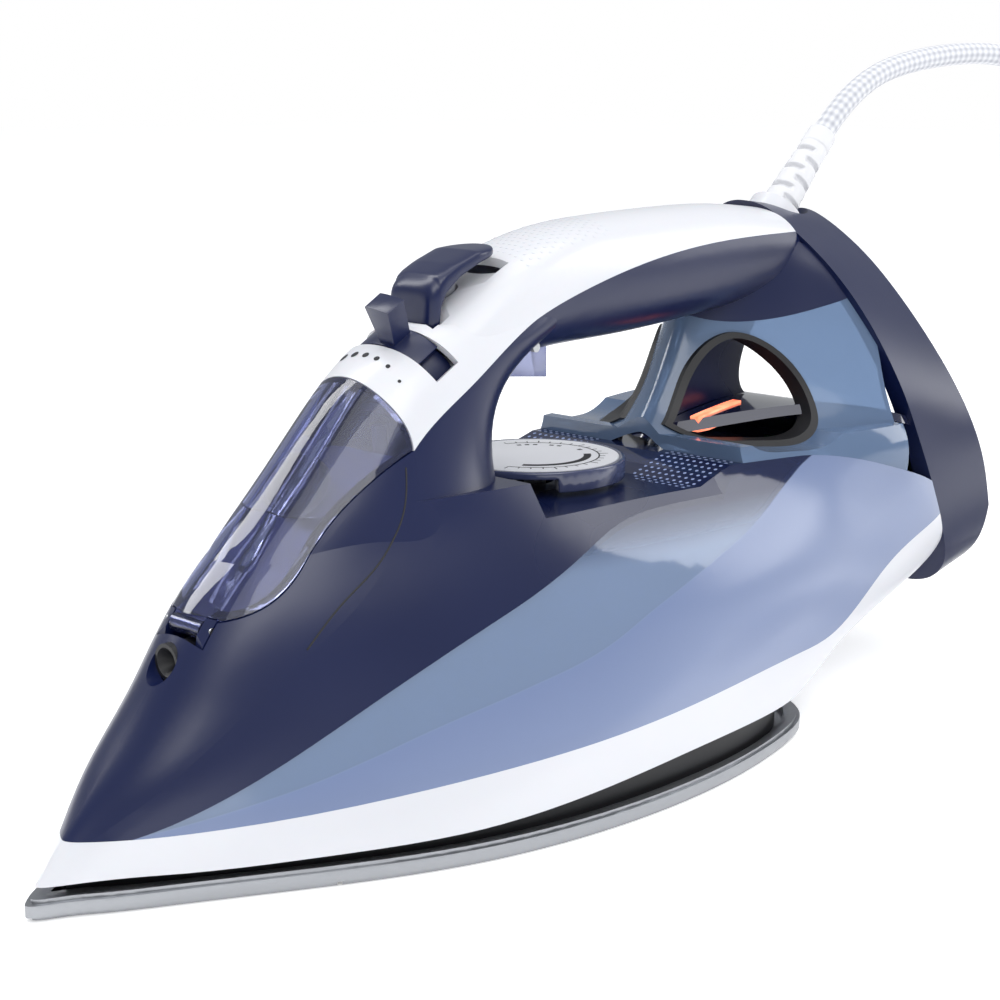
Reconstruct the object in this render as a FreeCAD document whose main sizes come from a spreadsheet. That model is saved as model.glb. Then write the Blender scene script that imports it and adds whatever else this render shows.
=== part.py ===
"""Steam iron: a parametric FreeCAD model of every piece, outside and inside.

Frame: X runs from the sole's tip (-X) to the heel (+X), Z is up, and Z = 0 is the sole's working
face. The origin is the middle of the iron's footprint. All lengths are millimetres.

The outer form is one hull. Its stations are written in the iron's own numbers, counted from the
tip of the sole, and `point` scales them by the driving length, width and height.
"""
import FreeCAD
import Part
import math
import os

os.makedirs("parts", exist_ok=True)
doc = FreeCAD.newDocument("steam_iron")
Vector = FreeCAD.Vector
Rotation = FreeCAD.Rotation

# ---------------------------------------------------------------- driving dimensions
sheet = doc.addObject("Spreadsheet::Sheet", "Sizes")
SIZES = {
    # overall
    "overall_length": 318.0, "sole_width": 120.0, "overall_height": 145.0,
    # walls and clearances
    "wall": 2.2, "fit_gap": 0.35, "run_gap": 0.05,
    # sole stack
    "sole_thick": 2.6, "sole_edge": 1.0, "rim_top": 4.8, "rim_width": 3.4,
    "shield_inset": 5.2, "shield_top": 12.0,
    "casting_inset": 8.5, "casting_thick": 9.0, "lid_inset": 20.0, "lid_thick": 1.5,
    "steam_hole_radius": 1.3, "element_radius": 3.0,
    # temperature dial
    "dial_radius": 24.4, "dial_top": 81.0, "dial_rim": 2.0, "dial_tab_depth": 5.5,
    "disc_radius": 22.6, "disc_thick": 1.0, "shaft_radius": 3.0,
    # spray button, pump and trigger
    "button_travel": 3.5, "pump_radius": 7.0, "pump_length": 26.0, "plunger_radius": 4.0,
    "spring_wire": 0.7, "trigger_width": 11.0, "pin_radius": 1.25,
    # nozzle and hose
    "nozzle_radius": 3.6, "hose_radius": 2.0,
    # heel
    "cap_wall": 6.0, "screw_radius": 1.5, "screw_head": 3.0, "screw_length": 12.0,
    # lead
    "cord_radius": 3.5, "relief_radius": 6.0, "relief_tip": 4.6, "coil_radius": 40.0,
    "coil_section": 10.5, "plug_length": 46.0, "plug_radius": 18.0,
    "plug_pin_radius": 2.4, "plug_pin_length": 19.0, "plug_pin_pitch": 19.0,
}
for row, (alias, value) in enumerate(SIZES.items(), start=1):
    sheet.set("A%d" % row, alias)
    sheet.set("B%d" % row, str(value))
    sheet.setAlias("B%d" % row, alias)
doc.recompute()


def size(alias):
    """The value that the sheet holds under this alias."""
    return float(sheet.get(alias))


WALL = size("wall")
FIT = size("fit_gap")
RUN = size("run_gap")
# The stations below are written for an iron of this size.
STATION_LENGTH, STATION_WIDTH, STATION_HEIGHT = 318.0, 120.0, 145.0
SCALE_X = size("overall_length") / STATION_LENGTH
SCALE_Y = size("sole_width") / STATION_WIDTH
SCALE_Z = size("overall_height") / STATION_HEIGHT


def station_x(x):
    """A station counted from the sole's tip, in the part's own frame."""
    return x * SCALE_X - size("overall_length") / 2


def point(x, y, z):
    """A hull point: station from the tip, half-width and height, scaled to the driving sizes."""
    return Vector(station_x(x), y * SCALE_Y, z * SCALE_Z)


# ---------------------------------------------------------------- document helpers
NODES = []


def feature(label, shape):
    """A piece whose shape is worked out here with Part's own functions."""
    item = doc.addObject("Part::Feature", label)
    item.Label = label
    item.Shape = shape
    NODES.append(item)
    return item


def keep(item, label):
    """Marks a document object as a finished piece under its own name."""
    item.Label = label
    NODES.append(item)
    return item


def primitive(kind, name, position, rotation=None, **bound):
    """A Part primitive whose sizes are bound to cells of the sheet by expressions."""
    item = doc.addObject("Part::" + kind, name)
    for prop, expression in bound.items():
        item.setExpression(prop, expression)
    item.Placement = FreeCAD.Placement(position, rotation or Rotation())
    return item


def cut(name, base, *tools):
    """Base minus every tool, as a chain of Part::Cut features."""
    for index, tool in enumerate(tools):
        item = doc.addObject("Part::Cut", "%s_cut_%d" % (name, index))
        item.Base, item.Tool = base, tool
        base = item
    return base


def fuse(name, *pieces):
    """All pieces as one Part::MultiFuse."""
    item = doc.addObject("Part::MultiFuse", name + "_fuse")
    item.Shapes = list(pieces)
    return item


def closed_spline(points):
    """A closed smooth wire through the points."""
    curve = Part.BSplineCurve()
    curve.interpolate(Points=points, PeriodicFlag=True)
    return Part.Wire([curve.toShape()])


def outline(half, height):
    """A closed outline at one height from its right half (station, half-width), tip first."""
    right = [point(x, y, height) for x, y in half]
    left = [point(x, -y, height) for x, y in reversed(half[1:-1])]
    return closed_spline(right + left)


def inset_half(half, inset):
    """The right half of an outline moved inwards by a wall."""
    tip, end = half[0][0], half[-1][0]
    moved = [(tip + 2.0 * inset, 0.0)]
    for x, y in half[1:-1]:
        # near the tip the outline also slides back, so that the wall stays even
        slide = 1.2 * inset * max(0.0, 1.0 - (x - tip) / 40.0)
        back = inset if x > end - 20.0 else 0.0
        moved.append((x + slide - back, max(y - inset, 0.8)))
    moved.append((end - inset, 0.0))
    return moved


def level_loft(levels, inset=0.0, below=0.0, above=0.0):
    """A solid through outlines stacked in height; `below` and `above` lengthen its two ends."""
    heights = sorted(levels)
    wires = []
    for height in heights:
        half = inset_half(levels[height], inset) if inset else levels[height]
        shift = 0.0
        if height == heights[0]:
            shift = -below
        if height == heights[-1]:
            shift = above
        wires.append(outline(half, height + shift))
    return Part.makeLoft(wires, True, False)


def side_region(*runs, half_width=90.0):
    """A slab across the iron whose side view is bounded by runs of (station, height) points.

    A run of two points is straight and a longer one is a smooth curve; each run starts where
    the run before it ends, and the last run closes on the first.
    """
    edges = []
    for run in runs:
        points = [point(x, -half_width, z) for x, z in run]
        if len(points) == 2:
            edges.append(Part.LineSegment(*points).toShape())
        else:
            curve = Part.BSplineCurve()
            curve.interpolate(Points=points)
            edges.append(curve.toShape())
    face = Part.Face(Part.Wire(edges))
    return face.extrude(Vector(0, 2 * half_width * SCALE_Y, 0))


# ---------------------------------------------------------------- the hull
# Right half of the outline at each height: (station from the tip, half-width).
SOLE_HALF = [(0, 0), (5.5, 5), (13, 9.5), (28, 18), (56, 33.5), (90, 49.5), (125, 58), (165, 60),
             (202, 55), (224, 46), (235, 28), (238, 0)]
HULL = {
    7: [(2.5, 0), (8, 5), (30, 18), (60, 34), (90, 47.5), (125, 55.5), (165, 57.5), (200, 54),
        (225, 46), (238, 32), (243, 15), (243, 0)],
    17: [(11, 0), (14, 5.5), (35, 19), (62, 32.5), (92, 46), (125, 55), (165, 57), (205, 54.5),
         (232, 48), (249, 34), (255, 15), (255, 0)],
    28: [(20.5, 0), (22.5, 7), (40, 19.5), (66, 31), (95, 43), (128, 53), (170, 56.5), (215, 54),
         (250, 50), (273, 36), (281, 15), (281, 0)],
    44: [(34, 0), (36.5, 8.5), (50, 19.5), (72, 29.5), (98, 39.5), (130, 48.5), (175, 54),
         (220, 53), (262, 50.5), (296, 46), (306, 20), (306, 0)],
    60: [(46, 0), (48.5, 9), (62, 19.5), (82, 28), (103, 35), (133, 42.5), (175, 48),
         (215, 48.5), (258, 48.5), (292, 46), (304, 20), (304, 0)],
    72: [(58, 0), (60, 8.5), (70, 16.5), (86, 23), (105, 29), (130, 34.5), (160, 36.5),
         (190, 39.5), (235, 45.5), (286, 45), (298, 20), (298, 0)],
    82: [(67.5, 0), (69.5, 8), (79, 15.5), (93, 21.5), (110, 25.5), (133, 28), (158, 30),
         (188, 34), (232, 42), (282, 43), (294, 20), (294, 0)],
}
PILLAR = {
    70: [(56, 0), (58, 8.5), (68.5, 16.5), (84.5, 22.5), (103, 28.5), (121, 27), (132, 16),
         (136.5, 0)],
    84: [(69.5, 0), (71.5, 8), (80, 15.5), (94, 21.3), (110, 23.5), (124, 21), (133, 12),
         (136, 0)],
    95: [(80, 0), (82, 7.5), (89.5, 14.8), (99, 19), (111, 20.5), (125, 19), (134, 11),
         (137, 0)],
    106: [(90.5, 0), (92.5, 7), (99, 13.5), (108, 17.5), (119, 19), (132, 17.5), (141, 10),
          (145, 0)],
    115: [(102.5, 0), (104.5, 7), (110, 12.5), (118, 16), (129, 18), (145, 17), (156, 9),
          (160, 0)],
    121: [(114.5, 0), (116.5, 7), (121, 11.5), (128, 15), (139, 17), (155, 16.5), (168, 9),
          (172, 0)],
}
# Handle bar: station, underside height, top height, half-width.
BAR = [(112, 98, 119.5, 14.5), (130, 104, 128.8, 17), (150, 110, 138.4, 17.5),
       (168, 111.2, 142.6, 17.5), (190, 111.8, 144.3, 17.5), (215, 113.5, 145, 17.5), (240, 116, 144.6, 18),
       (262, 118, 142.5, 18)]
NECK = {
    74: [(190, 0), (197, 15), (212, 30), (240, 42), (262, 45.5), (290, 46), (300, 20), (300, 0)],
    82: [(201, 0), (206, 9), (219, 21.5), (240, 34), (262, 43), (282, 46), (294, 20), (294, 0)],
    92: [(210, 0), (214, 7), (226, 16), (243, 27), (260, 37), (277, 43), (290, 20), (290, 0)],
    102: [(216, 0), (220, 7), (231, 15), (245, 24), (259, 33), (272, 39.5), (286, 20), (286, 0)],
    112: [(220.5, 0), (225, 7), (235, 14), (247, 21.5), (258, 29), (268, 35), (282, 18), (282, 0)],
    122: [(223.5, 0), (228, 7), (238, 13.5), (248, 19), (256, 24.5), (263, 29), (278, 15),
          (278, 0)],
    134: [(227, 0), (231, 6.5), (239, 11), (247, 14.5), (253, 17), (258, 19), (272, 10),
          (272, 0)],
}
SEAM_LEAN = 0.4


def seam_station(height, at_sixty=285.5):
    """Station of the plane where the heel cap meets the shells, leaning with height."""
    return at_sixty - SEAM_LEAN * (height - 60.0)


REAR_AT_SIXTY = 313.8


def bar_section(station, low, high, half_width, inset=0.0):
    """Rounded upright section of the handle bar, a superellipse through sixteen points."""
    middle, reach = (low + high) / 2, (high - low) / 2 - inset
    points = []
    for step in range(16):
        turn = 2 * math.pi * step / 16
        across, up = math.cos(turn), math.sin(turn)
        y = math.copysign(abs(across) ** 0.8, across) * (half_width - inset)
        z = middle + math.copysign(abs(up) ** 0.8, up) * reach
        points.append(point(station, y, z))
    return closed_spline(points)


def bar_loft(inset=0.0):
    """The handle bar as one solid along its length."""
    return Part.makeLoft([bar_section(*row, inset=inset) for row in BAR], True, False)


def cap_outline(rows, at_sixty, inset=0.0):
    """A closed outline in the heel's leaning plane from (height, half-width) rows, top first."""
    low, high = rows[-1][0], rows[0][0]
    right = []
    for height, half_width in rows:
        raised = min(max(height, low + inset), high - inset)
        narrowed = max(half_width - inset, 0.0) if half_width else 0.0
        right.append((raised, narrowed))
    points = [point(seam_station(z, at_sixty), y, z) for z, y in right]
    points += [point(seam_station(z, at_sixty), -y, z) for z, y in reversed(right[1:-1])]
    return closed_spline(points)


CAP_FRONT = [(145.2, 0), (143, 9), (138, 15.5), (131, 23), (118, 33), (98, 42), (78, 46.5),
             (60, 48.8), (46, 49.3), (36, 48), (29, 42), (26.5, 22), (26.5, 0)]
CAP_REAR = [(141.5, 0), (139.5, 7), (135, 13.5), (128, 21), (117, 29.5), (100, 39.5), (82, 47),
            (65, 50), (54, 49.6), (45, 48.5), (37, 45), (31, 34), (30, 18), (30, 0)]
CAP_FRONT.insert(6, (88, 44.8))


def cap_loft(inset=0.0, ahead=0.0, behind=0.0):
    """The heel cap's envelope; `ahead` and `behind` lengthen it past its two faces."""
    wires = [cap_outline(CAP_FRONT, 285.5 - ahead, inset),
             cap_outline(CAP_REAR, REAR_AT_SIXTY + behind, inset)]
    return Part.makeLoft(wires, True, False)


# ---------------------------------------------------------------- dividing lines in side view
SKIRT_LOW = [(-4, 7.4), (60, 7), (100, 8), (128, 10), (164, 12), (194, 12.2), (215, 13.5),
             (230, 18), (245, 22.5), (262, 26.5), (280, 29.5), (296, 31.5)]
SKIRT_HIGH = [(-4, 16.5), (25, 15.7), (55, 16.5), (75, 18), (99, 20), (128, 22), (166, 24),
              (211, 26), (229, 28), (241, 33), (254, 39.5), (267, 45), (280, 49.5), (296, 53.5)]
DARK_EDGE = [(10, 13), (56, 30), (78, 41), (103, 52), (118, 57.5), (135, 64), (152, 69.5),
             (170, 71.4), (193, 71.5)]
NECK_EDGE = [(193, 78), (226, 77.5), (244, 75), (262, 70), (275, 66), (296, 57)]
DECK = 74.0
WELL_FRONT, WELL_BACK = 131.0, 193.0
COLLAR_EDGE = [(205, 122), (215, 118), (222, 114), (239, 112), (255, 115), (268, 120)]
WHITE_EDGE = [(99.5, 93.5), (105, 98), (120, 107), (133, 115), (145, 121), (160, 126),
              (181, 131), (209, 135), (244, 136.6), (262, 136.6)]
WHITE_FRONT = [(94.0, 113), (95.5, 108), (98.5, 101), (99.5, 93.5)]
VISOR_EDGE = [(38, 57.6), (48, 59.4), (57, 62.5), (65, 68), (73, 76), (84, 85), (99.5, 93.5)]
PARTING = [(0, 6), (18, 19), (40, 35), (63, 52), (76, 61), (88, 71), (95, 79), (98.5, 87),
           (99.5, 93.5)]


def raised(run, lift):
    """The run of points moved up by lift."""
    return [(x, z + lift) for x, z in run]


# ---------------------------------------------------------------- masters
hull_outer = level_loft(HULL)
hull_inner = level_loft(HULL, inset=WALL, below=3, above=3)
pillar_outer = level_loft(PILLAR)
pillar_inner = level_loft(PILLAR, inset=WALL, below=3, above=-2)
bar_outer = bar_loft()
bar_inner = bar_loft(WALL)
neck_outer = level_loft(NECK)
neck_inner = level_loft(NECK, inset=WALL, below=3, above=3)
REAR_LIMIT = [(303, 18), (309.5, 26.0), (314.5, 34), (317.2, 43), (317.9, 52), (317.9, 62)]


def rear_limit(shift):
    """Everything ahead of the heel's lower rear curve, moved forward by shift."""
    curve = [(x - shift, z) for x, z in REAR_LIMIT]
    return side_region([(150, 0), curve[0]], curve, [curve[-1], (318 - shift, 170)],
                       [(318 - shift, 170), (150, 170)], [(150, 170), (150, 0)])


cap_outer = cap_loft().common(rear_limit(0))
before_seam = side_region([(-20, -20), (seam_station(-20), -20)],
                          [(seam_station(-20), -20), (seam_station(170), 170)],
                          [(seam_station(170), 170), (-20, 170)], [(-20, 170), (-20, -20)])

well = side_region([(WELL_FRONT, DECK), (187, DECK)], [(187, DECK), (201, 78)],
                   [(201, 78), (201, 90)], [(201, 90), (WELL_FRONT, 90)],
                   [(WELL_FRONT, 90), (WELL_FRONT, DECK)])
well_roof = side_region([(WELL_FRONT, DECK - WALL), (WELL_BACK + WALL, DECK - WALL)],
                        [(WELL_BACK + WALL, DECK - WALL), (WELL_BACK + WALL, 90)],
                        [(WELL_BACK + WALL, 90), (WELL_FRONT, 90)],
                        [(WELL_FRONT, 90), (WELL_FRONT, DECK - WALL)])

upper_outer = hull_outer.cut(well).fuse([pillar_outer, bar_outer])
under_roof = Part.makeBox(600, 300, (82 - WALL) * SCALE_Z + 20, Vector(-300, -150, -20))
upper_inner = hull_inner.common(under_roof).cut(well_roof).fuse([pillar_inner, bar_inner])
upper_skin = upper_outer.cut(upper_inner)

def above(*runs):
    """Everything above a side-view line that runs from left to right."""
    first, last = runs[0][0], runs[-1][-1]
    top = 190
    return side_region(*runs, [last, (last[0], top)], [(last[0], top), (first[0], top)],
                       [(first[0], top), first])


def below(*runs):
    """Everything below a side-view line that runs from left to right."""
    first, last = runs[0][0], runs[-1][-1]
    bottom = -20
    return side_region(*runs, [last, (last[0], bottom)], [(last[0], bottom), (first[0], bottom)],
                       [(first[0], bottom), first])


LOW_REACH = [(-30, 7.4), (-4, 7.4)]
NECK_RUNS = [NECK_EDGE[:2], NECK_EDGE[1:]]
ROOF_RUN = [[(193, 71.5), (193, 78)], *NECK_RUNS]
over_skirt = above([(-30, 16.5), (-4, 16.5)], SKIRT_HIGH)
under_skirt_top = below([(-30, 16.5), (-4, 16.5)], SKIRT_HIGH)
over_skirt_low = above(LOW_REACH, SKIRT_LOW)
under_dark = below([(-30, 13), (10, 13)], DARK_EDGE, *ROOF_RUN)
over_dark = above([(-30, 13), (10, 13)], DARK_EDGE, *ROOF_RUN)
ahead_of_parting = above([(-30, 6), (0, 6)], PARTING)
visor_region = side_region(VISOR_EDGE, WHITE_FRONT[::-1], [(94, 113), (80, 130)],
                           [(80, 130), (15, 80)], [(15, 80), (38, 57.6)])
white_region = side_region(WHITE_EDGE, [(262, 136.6), (262, 170)], [(262, 170), (80, 170)],
                           [(80, 170), (94, 113)], WHITE_FRONT)
front_of_deck = side_region([(-30, -20), (193, -20)], [(193, -20), (193, 95)],
                            [(193, 95), (300, 95)], [(300, 95), (300, 170)],
                            [(300, 170), (-30, 170)], [(-30, 170), (-30, -20)])

# ---------------------------------------------------------------- the dial's axis and its tunnel
DIAL_X = station_x(162.3)
DIAL_TOP = size("dial_top") * SCALE_Z
DECK_Z = DECK * SCALE_Z
TUNNEL_RADIUS = size("shaft_radius") + 2.0


def upright(radius, low, high, x, y=0.0):
    """A plain vertical cylinder between two heights."""
    return Part.makeCylinder(radius, high - low, Vector(x, y, low))


shaft_tunnel = upright(TUNNEL_RADIUS, 5, 90 * SCALE_Z, DIAL_X)
tunnel_wall = upright(TUNNEL_RADIUS + 1.5, 5, DECK_Z - WALL / 2, DIAL_X)
VALVE_X = station_x(106)
VALVE_RADIUS = 1.6
valve_tunnel = upright(VALVE_RADIUS + 0.3, 5, 60 * SCALE_Z, VALVE_X)
valve_wall = upright(VALVE_RADIUS + 1.6, 5, 52.5 * SCALE_Z, VALVE_X)

# ---------------------------------------------------------------- sole, casting and skirt
CASTING_TOP = size("sole_thick") + size("casting_thick")
LID_TOP = CASTING_TOP + size("lid_thick")
SCREW_R = size("screw_radius")


def sole_slab(inset, low, high):
    """A flat slab of the sole's outline moved inwards."""
    wire = outline(inset_half(SOLE_HALF, inset) if inset else SOLE_HALF, 0)
    face = Part.Face(wire)
    face.translate(Vector(0, 0, low))
    return face.extrude(Vector(0, 0, high - low))


def steam_holes():
    """Two rows of steam holes that follow the sole's edge, and a cluster at the tip."""
    places = []
    for index in range(13):
        x = 34 + 13.5 * index
        reach = min(0.62 * (x - 6), 38) * (1 if x < 170 else 1 - (x - 170) / 220)
        places += [(x, reach), (x, -reach)]
    places += [(22, 0), (34, 0), (46, 8), (46, -8), (58, 0)]
    radius = size("steam_hole_radius")
    low, high = -1.0, size("sole_thick") + 1.0
    return [upright(radius, low, high, station_x(x), y * SCALE_Y) for x, y in places]


# The sheet's edge is rolled up into a rim all round: three steps of it, softened by their
# insets below and above the widest one.
RIM_TOP, RIM_WIDTH = size("rim_top"), size("rim_width")
edge_step = size("sole_edge")
sole = sole_slab(0, edge_step, RIM_TOP - edge_step).fuse([
    sole_slab(edge_step * 0.8, 0, edge_step),
    sole_slab(edge_step * 0.8, RIM_TOP - edge_step, RIM_TOP)])
sole = sole.cut(sole_slab(RIM_WIDTH, size("sole_thick"), RIM_TOP + 1))
feature("soleplate", sole.removeSplitter().cut(steam_holes()))

casting = sole_slab(size("casting_inset"), size("sole_thick"), CASTING_TOP)
chamber = Part.makeBox(54 * SCALE_X, 26 * SCALE_Y, 6, Vector(station_x(96), -13 * SCALE_Y,
                                                             CASTING_TOP - 5))
casting = casting.cut(chamber)
ELEMENT_LEG = 24.0 * SCALE_Y
ELEMENT_Z = size("sole_thick") + size("casting_thick") / 2


def element_path(height):
    """The heater's U: two straight legs joined by a half circle at the front."""
    leg, front, rear = ELEMENT_LEG, station_x(95), station_x(212)
    a, b = Vector(rear, -leg, height), Vector(front, -leg, height)
    c, d = Vector(front, leg, height), Vector(rear, leg, height)
    bend = Part.Arc(b, Vector(front - leg, 0, height), c).toShape()
    return Part.Wire([Part.LineSegment(a, b).toShape(), bend, Part.LineSegment(c, d).toShape()])


def tube_along(path, radius):
    """A round bar swept along a wire."""
    start = path.Edges[0]
    where = start.valueAt(start.FirstParameter)
    along = start.tangentAt(start.FirstParameter)
    ring = Part.Wire([Part.makeCircle(radius, where, along)])
    return path.makePipeShell([ring], True, True)


element = tube_along(element_path(ELEMENT_Z), size("element_radius"))
def element_slot(clearance):
    """The open channel of the casting in which the heater's U lies."""
    reach = size("element_radius") + clearance
    front, rear = station_x(95), station_x(212) + 0.5
    inner, outer = ELEMENT_LEG - reach, ELEMENT_LEG + reach
    low = ELEMENT_Z - reach
    corners = [Vector(rear, -outer, low), Vector(front, -outer, low), Vector(front, outer, low),
               Vector(rear, outer, low), Vector(rear, inner, low), Vector(front, inner, low),
               Vector(front, -inner, low), Vector(rear, -inner, low)]
    far = Part.Arc(corners[1], Vector(front - outer, 0, low), corners[2]).toShape()
    near = Part.Arc(corners[5], Vector(front - inner, 0, low), corners[6]).toShape()
    sides = [Part.LineSegment(corners[a], corners[b]).toShape()
             for a, b in ((0, 1), (2, 3), (3, 4), (4, 5), (6, 7), (7, 0))]
    wire = Part.Wire([sides[0], far, sides[1], sides[2], sides[3], near, sides[4], sides[5]])
    return Part.Face(wire).extrude(Vector(0, 0, 20))


TAIL_X = station_x(207)
tails = [upright(1.6, ELEMENT_Z, CASTING_TOP + 7, TAIL_X, side * ELEMENT_LEG) for side in (-1, 1)]
tail_holes = [upright(2.2, ELEMENT_Z, CASTING_TOP + 7, TAIL_X, side * ELEMENT_LEG)
              for side in (-1, 1)]
SOLE_SCREWS = [(84, 0), (196, 12), (196, -12)]
SOLE_SCREW_TOP = LID_TOP + 2.4
screw_shanks = [upright(SCREW_R, 4.5, SOLE_SCREW_TOP, station_x(x), y * SCALE_Y)
                for x, y in SOLE_SCREWS]
screw_heads = [upright(size("screw_head"), LID_TOP, SOLE_SCREW_TOP, station_x(x), y * SCALE_Y)
               for x, y in SOLE_SCREWS]
screw_bores = [upright(SCREW_R + RUN, 4.5, SOLE_SCREW_TOP, station_x(x), y * SCALE_Y)
               for x, y in SOLE_SCREWS]
feature("heater_casting", casting.cut([element_slot(RUN)] + screw_bores))
feature("heating_element", element.fuse(tails))
feature("sole_screws", Part.makeCompound([a.fuse(b) for a, b in zip(screw_shanks, screw_heads)]))
lid = sole_slab(size("lid_inset") + 5, CASTING_TOP, LID_TOP)
lid = lid.cut([upright(9.0, 0, 40, DIAL_X), upright(VALVE_RADIUS + 1.5, 0, 40, VALVE_X)])
lid = lid.cut(tail_holes + screw_bores)
feature("steam_chamber_lid", lid)

shield_top = size("shield_top")
shield = sole_slab(size("shield_inset"), size("sole_thick"), shield_top)
shield = shield.cut(sole_slab(size("shield_inset") + 2.0, 0, shield_top + 1))
feature("heat_shield", shield)

skirt = hull_outer.cut(hull_inner).common(over_skirt_low).common(under_skirt_top)
skirt = skirt.common(before_seam)
heel_base = side_region([(243, 19), (245, 22.5), (262, 26.5), (280, 29.5), (290, 30.8)],
                        [(290, 30.8), (290, 33)], [(290, 33), (280, 31.7), (262, 28.7),
                                                   (245, 24.7), (240, 21)], [(240, 21), (243, 19)])
heel_base = heel_base.common(hull_inner).common(before_seam)
shield_room = sole_slab(size("shield_inset") - 0.5, 0, shield_top + 0.5)
feature("skirt", skirt.fuse(heel_base).cut(shield_room).removeSplitter())

# ---------------------------------------------------------------- water tank
tank_block = hull_outer.common(over_skirt).common(under_dark).common(before_seam).cut(well)
tank_room = hull_inner.common(above([(-30, 18.7), (-4, 18.7)], raised(SKIRT_HIGH, WALL)))
tank_room = tank_room.common(below([(-30, 10.8), (10, 10.8)], raised(DARK_EDGE, -WALL),
                                   [(193, 69.3), (200, 74)],
                                   [(200, 74)] + raised(NECK_EDGE[1:], -WALL)))
behind_gap = side_region([(-20, -20), (seam_station(-20) - WALL, -20)],
                         [(seam_station(-20) - WALL, -20), (seam_station(170) - WALL, 170)],
                         [(seam_station(170) - WALL, 170), (-20, 170)], [(-20, 170), (-20, -20)])
tank_room = tank_room.common(behind_gap)
tank_walls = tunnel_wall.fuse(valve_wall).common(tank_block)
tank = tank_block.cut(tank_room).fuse(tank_walls).cut([shaft_tunnel, valve_tunnel])
feature("water_tank", tank)

# ---------------------------------------------------------------- dark body, nose and visor
dark = upper_skin.common(over_dark).common(over_skirt).common(front_of_deck)
visor = dark.common(visor_region)
nose = dark.common(ahead_of_parting).cut(visor_region).cut(white_region)
white = dark.common(white_region).common(before_seam)
handle = dark.cut(ahead_of_parting).cut(visor_region).cut(white_region).common(before_seam)

# hinge of the filler cover: a knuckle on the cover turns on a pin across the nose
HINGE = point(47.2, 0, 57.2)
KNUCKLE = 2.3
PIN_R = size("pin_radius")


def across(radius, half_length, centre):
    """A cylinder along Y, centred on a point of the middle plane."""
    start = Vector(centre.x, -half_length, centre.z)
    return Part.makeCylinder(radius, 2 * half_length, start, Vector(0, 1, 0))


cover_corner = (99.5 - FIT, 93.5 + FIT)
cover_gap = side_region(raised(VISOR_EDGE[:-1], FIT) + [cover_corner],
                        [cover_corner] + [(x - FIT, z) for x, z in WHITE_FRONT[-2::-1]],
                        [(94 - FIT, 113), (80, 130)], [(80, 130), (15, 80)],
                        [(15, 80), (38, 57.6 + FIT)])
knuckle_half = 5.5 * SCALE_Y
pin_reach = 8.5 * SCALE_Y
EAR = KNUCKLE + 0.6
arm = side_region([(45.6, 57.8), (48.8, 56.6)], [(48.8, 56.6), (53.5, 63.8)],
                  [(53.5, 63.8), (50, 64.5)], [(50, 64.5), (45.6, 57.8)], half_width=5.5)
cover = visor.common(cover_gap).cut(across(EAR + FIT, pin_reach + FIT, HINGE))
cover = cover.fuse(arm.common(hull_outer)).fuse(across(KNUCKLE, knuckle_half, HINGE))
cover = cover.cut(across(PIN_R + RUN, 20, HINGE))
nose = nose.cut(across(4.8, pin_reach + FIT, HINGE))
ears = across(EAR, pin_reach, HINGE).cut(across(9, knuckle_half + FIT, HINGE))
ear_feet = side_region([(43, 50), (49, 50)], [(49, 50), (49, 57.2)], [(49, 57.2), (44.4, 57.2)],
                       [(44.4, 57.2), (43, 50)], half_width=8.5)
ear_feet = ear_feet.common(hull_outer).cut(hull_inner.cut(across(9, pin_reach, HINGE)))
ears = ears.fuse(ear_feet.cut(across(12, knuckle_half + FIT, HINGE)))
NOZZLE = point(39.2, 0, 50.0)
NOZZLE_R = size("nozzle_radius") + 0.8
nozzle_bore = Part.makeCylinder(NOZZLE_R + RUN, 16, NOZZLE - Vector(6, 0, 0), Vector(1, 0, 0))
ears = ears.common(hull_outer)
nose = nose.fuse(ears).cut([across(PIN_R, pin_reach, HINGE), nozzle_bore])
feature("filler_cover", cover)
feature("nose_shell", nose)
feature("cover_pin", across(PIN_R, pin_reach - 0.1, HINGE))

# spray button: a plate with a front wall, which sinks into a pocket of the handle top
BUTTON_HALF = 8.5
BUTTON_TOP = [(116.5, 130.5), (125, 135.2), (133, 138.2), (142, 139)]
BUTTON_UNDER = [(142.5, 136.2), (134, 134), (126.5, 130.5), (121.5, 126), (119.6, 121),
                (119.2, 116.5)]
button_shape = side_region(BUTTON_TOP, [(142, 139), (142.5, 136.2)], BUTTON_UNDER,
                           [(119.2, 116.5), (116.5, 116.5)], [(116.5, 116.5), (116.5, 130.5)],
                           half_width=BUTTON_HALF)
drop = size("button_travel") + FIT
button_room = side_region([(116.5 - FIT, 133), (142.5 + FIT, 142)],
                          [(142.5 + FIT, 142), (142.5 + FIT, 136.2 - drop)],
                          [(142.5 + FIT, 136.2 - drop)] + raised(BUTTON_UNDER[1:-1], -drop)
                          + [(119.2 + FIT, 116.5 - drop)],
                          [(119.2 + FIT, 116.5 - drop), (116.5 - FIT, 116.5 - drop)],
                          [(116.5 - FIT, 116.5 - drop), (116.5 - FIT, 133)],
                          half_width=BUTTON_HALF + FIT)
PUMP_X = station_x(128.5)
PUMP_LOW, PUMP_HIGH = 90.0 * SCALE_Z, 90.0 * SCALE_Z + size("pump_length") - 4
PLUNGER_R = size("plunger_radius") - 1.0
stem_room = upright(PLUNGER_R + 0.6, PUMP_HIGH - 2, 140 * SCALE_Z, PUMP_X)

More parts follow.
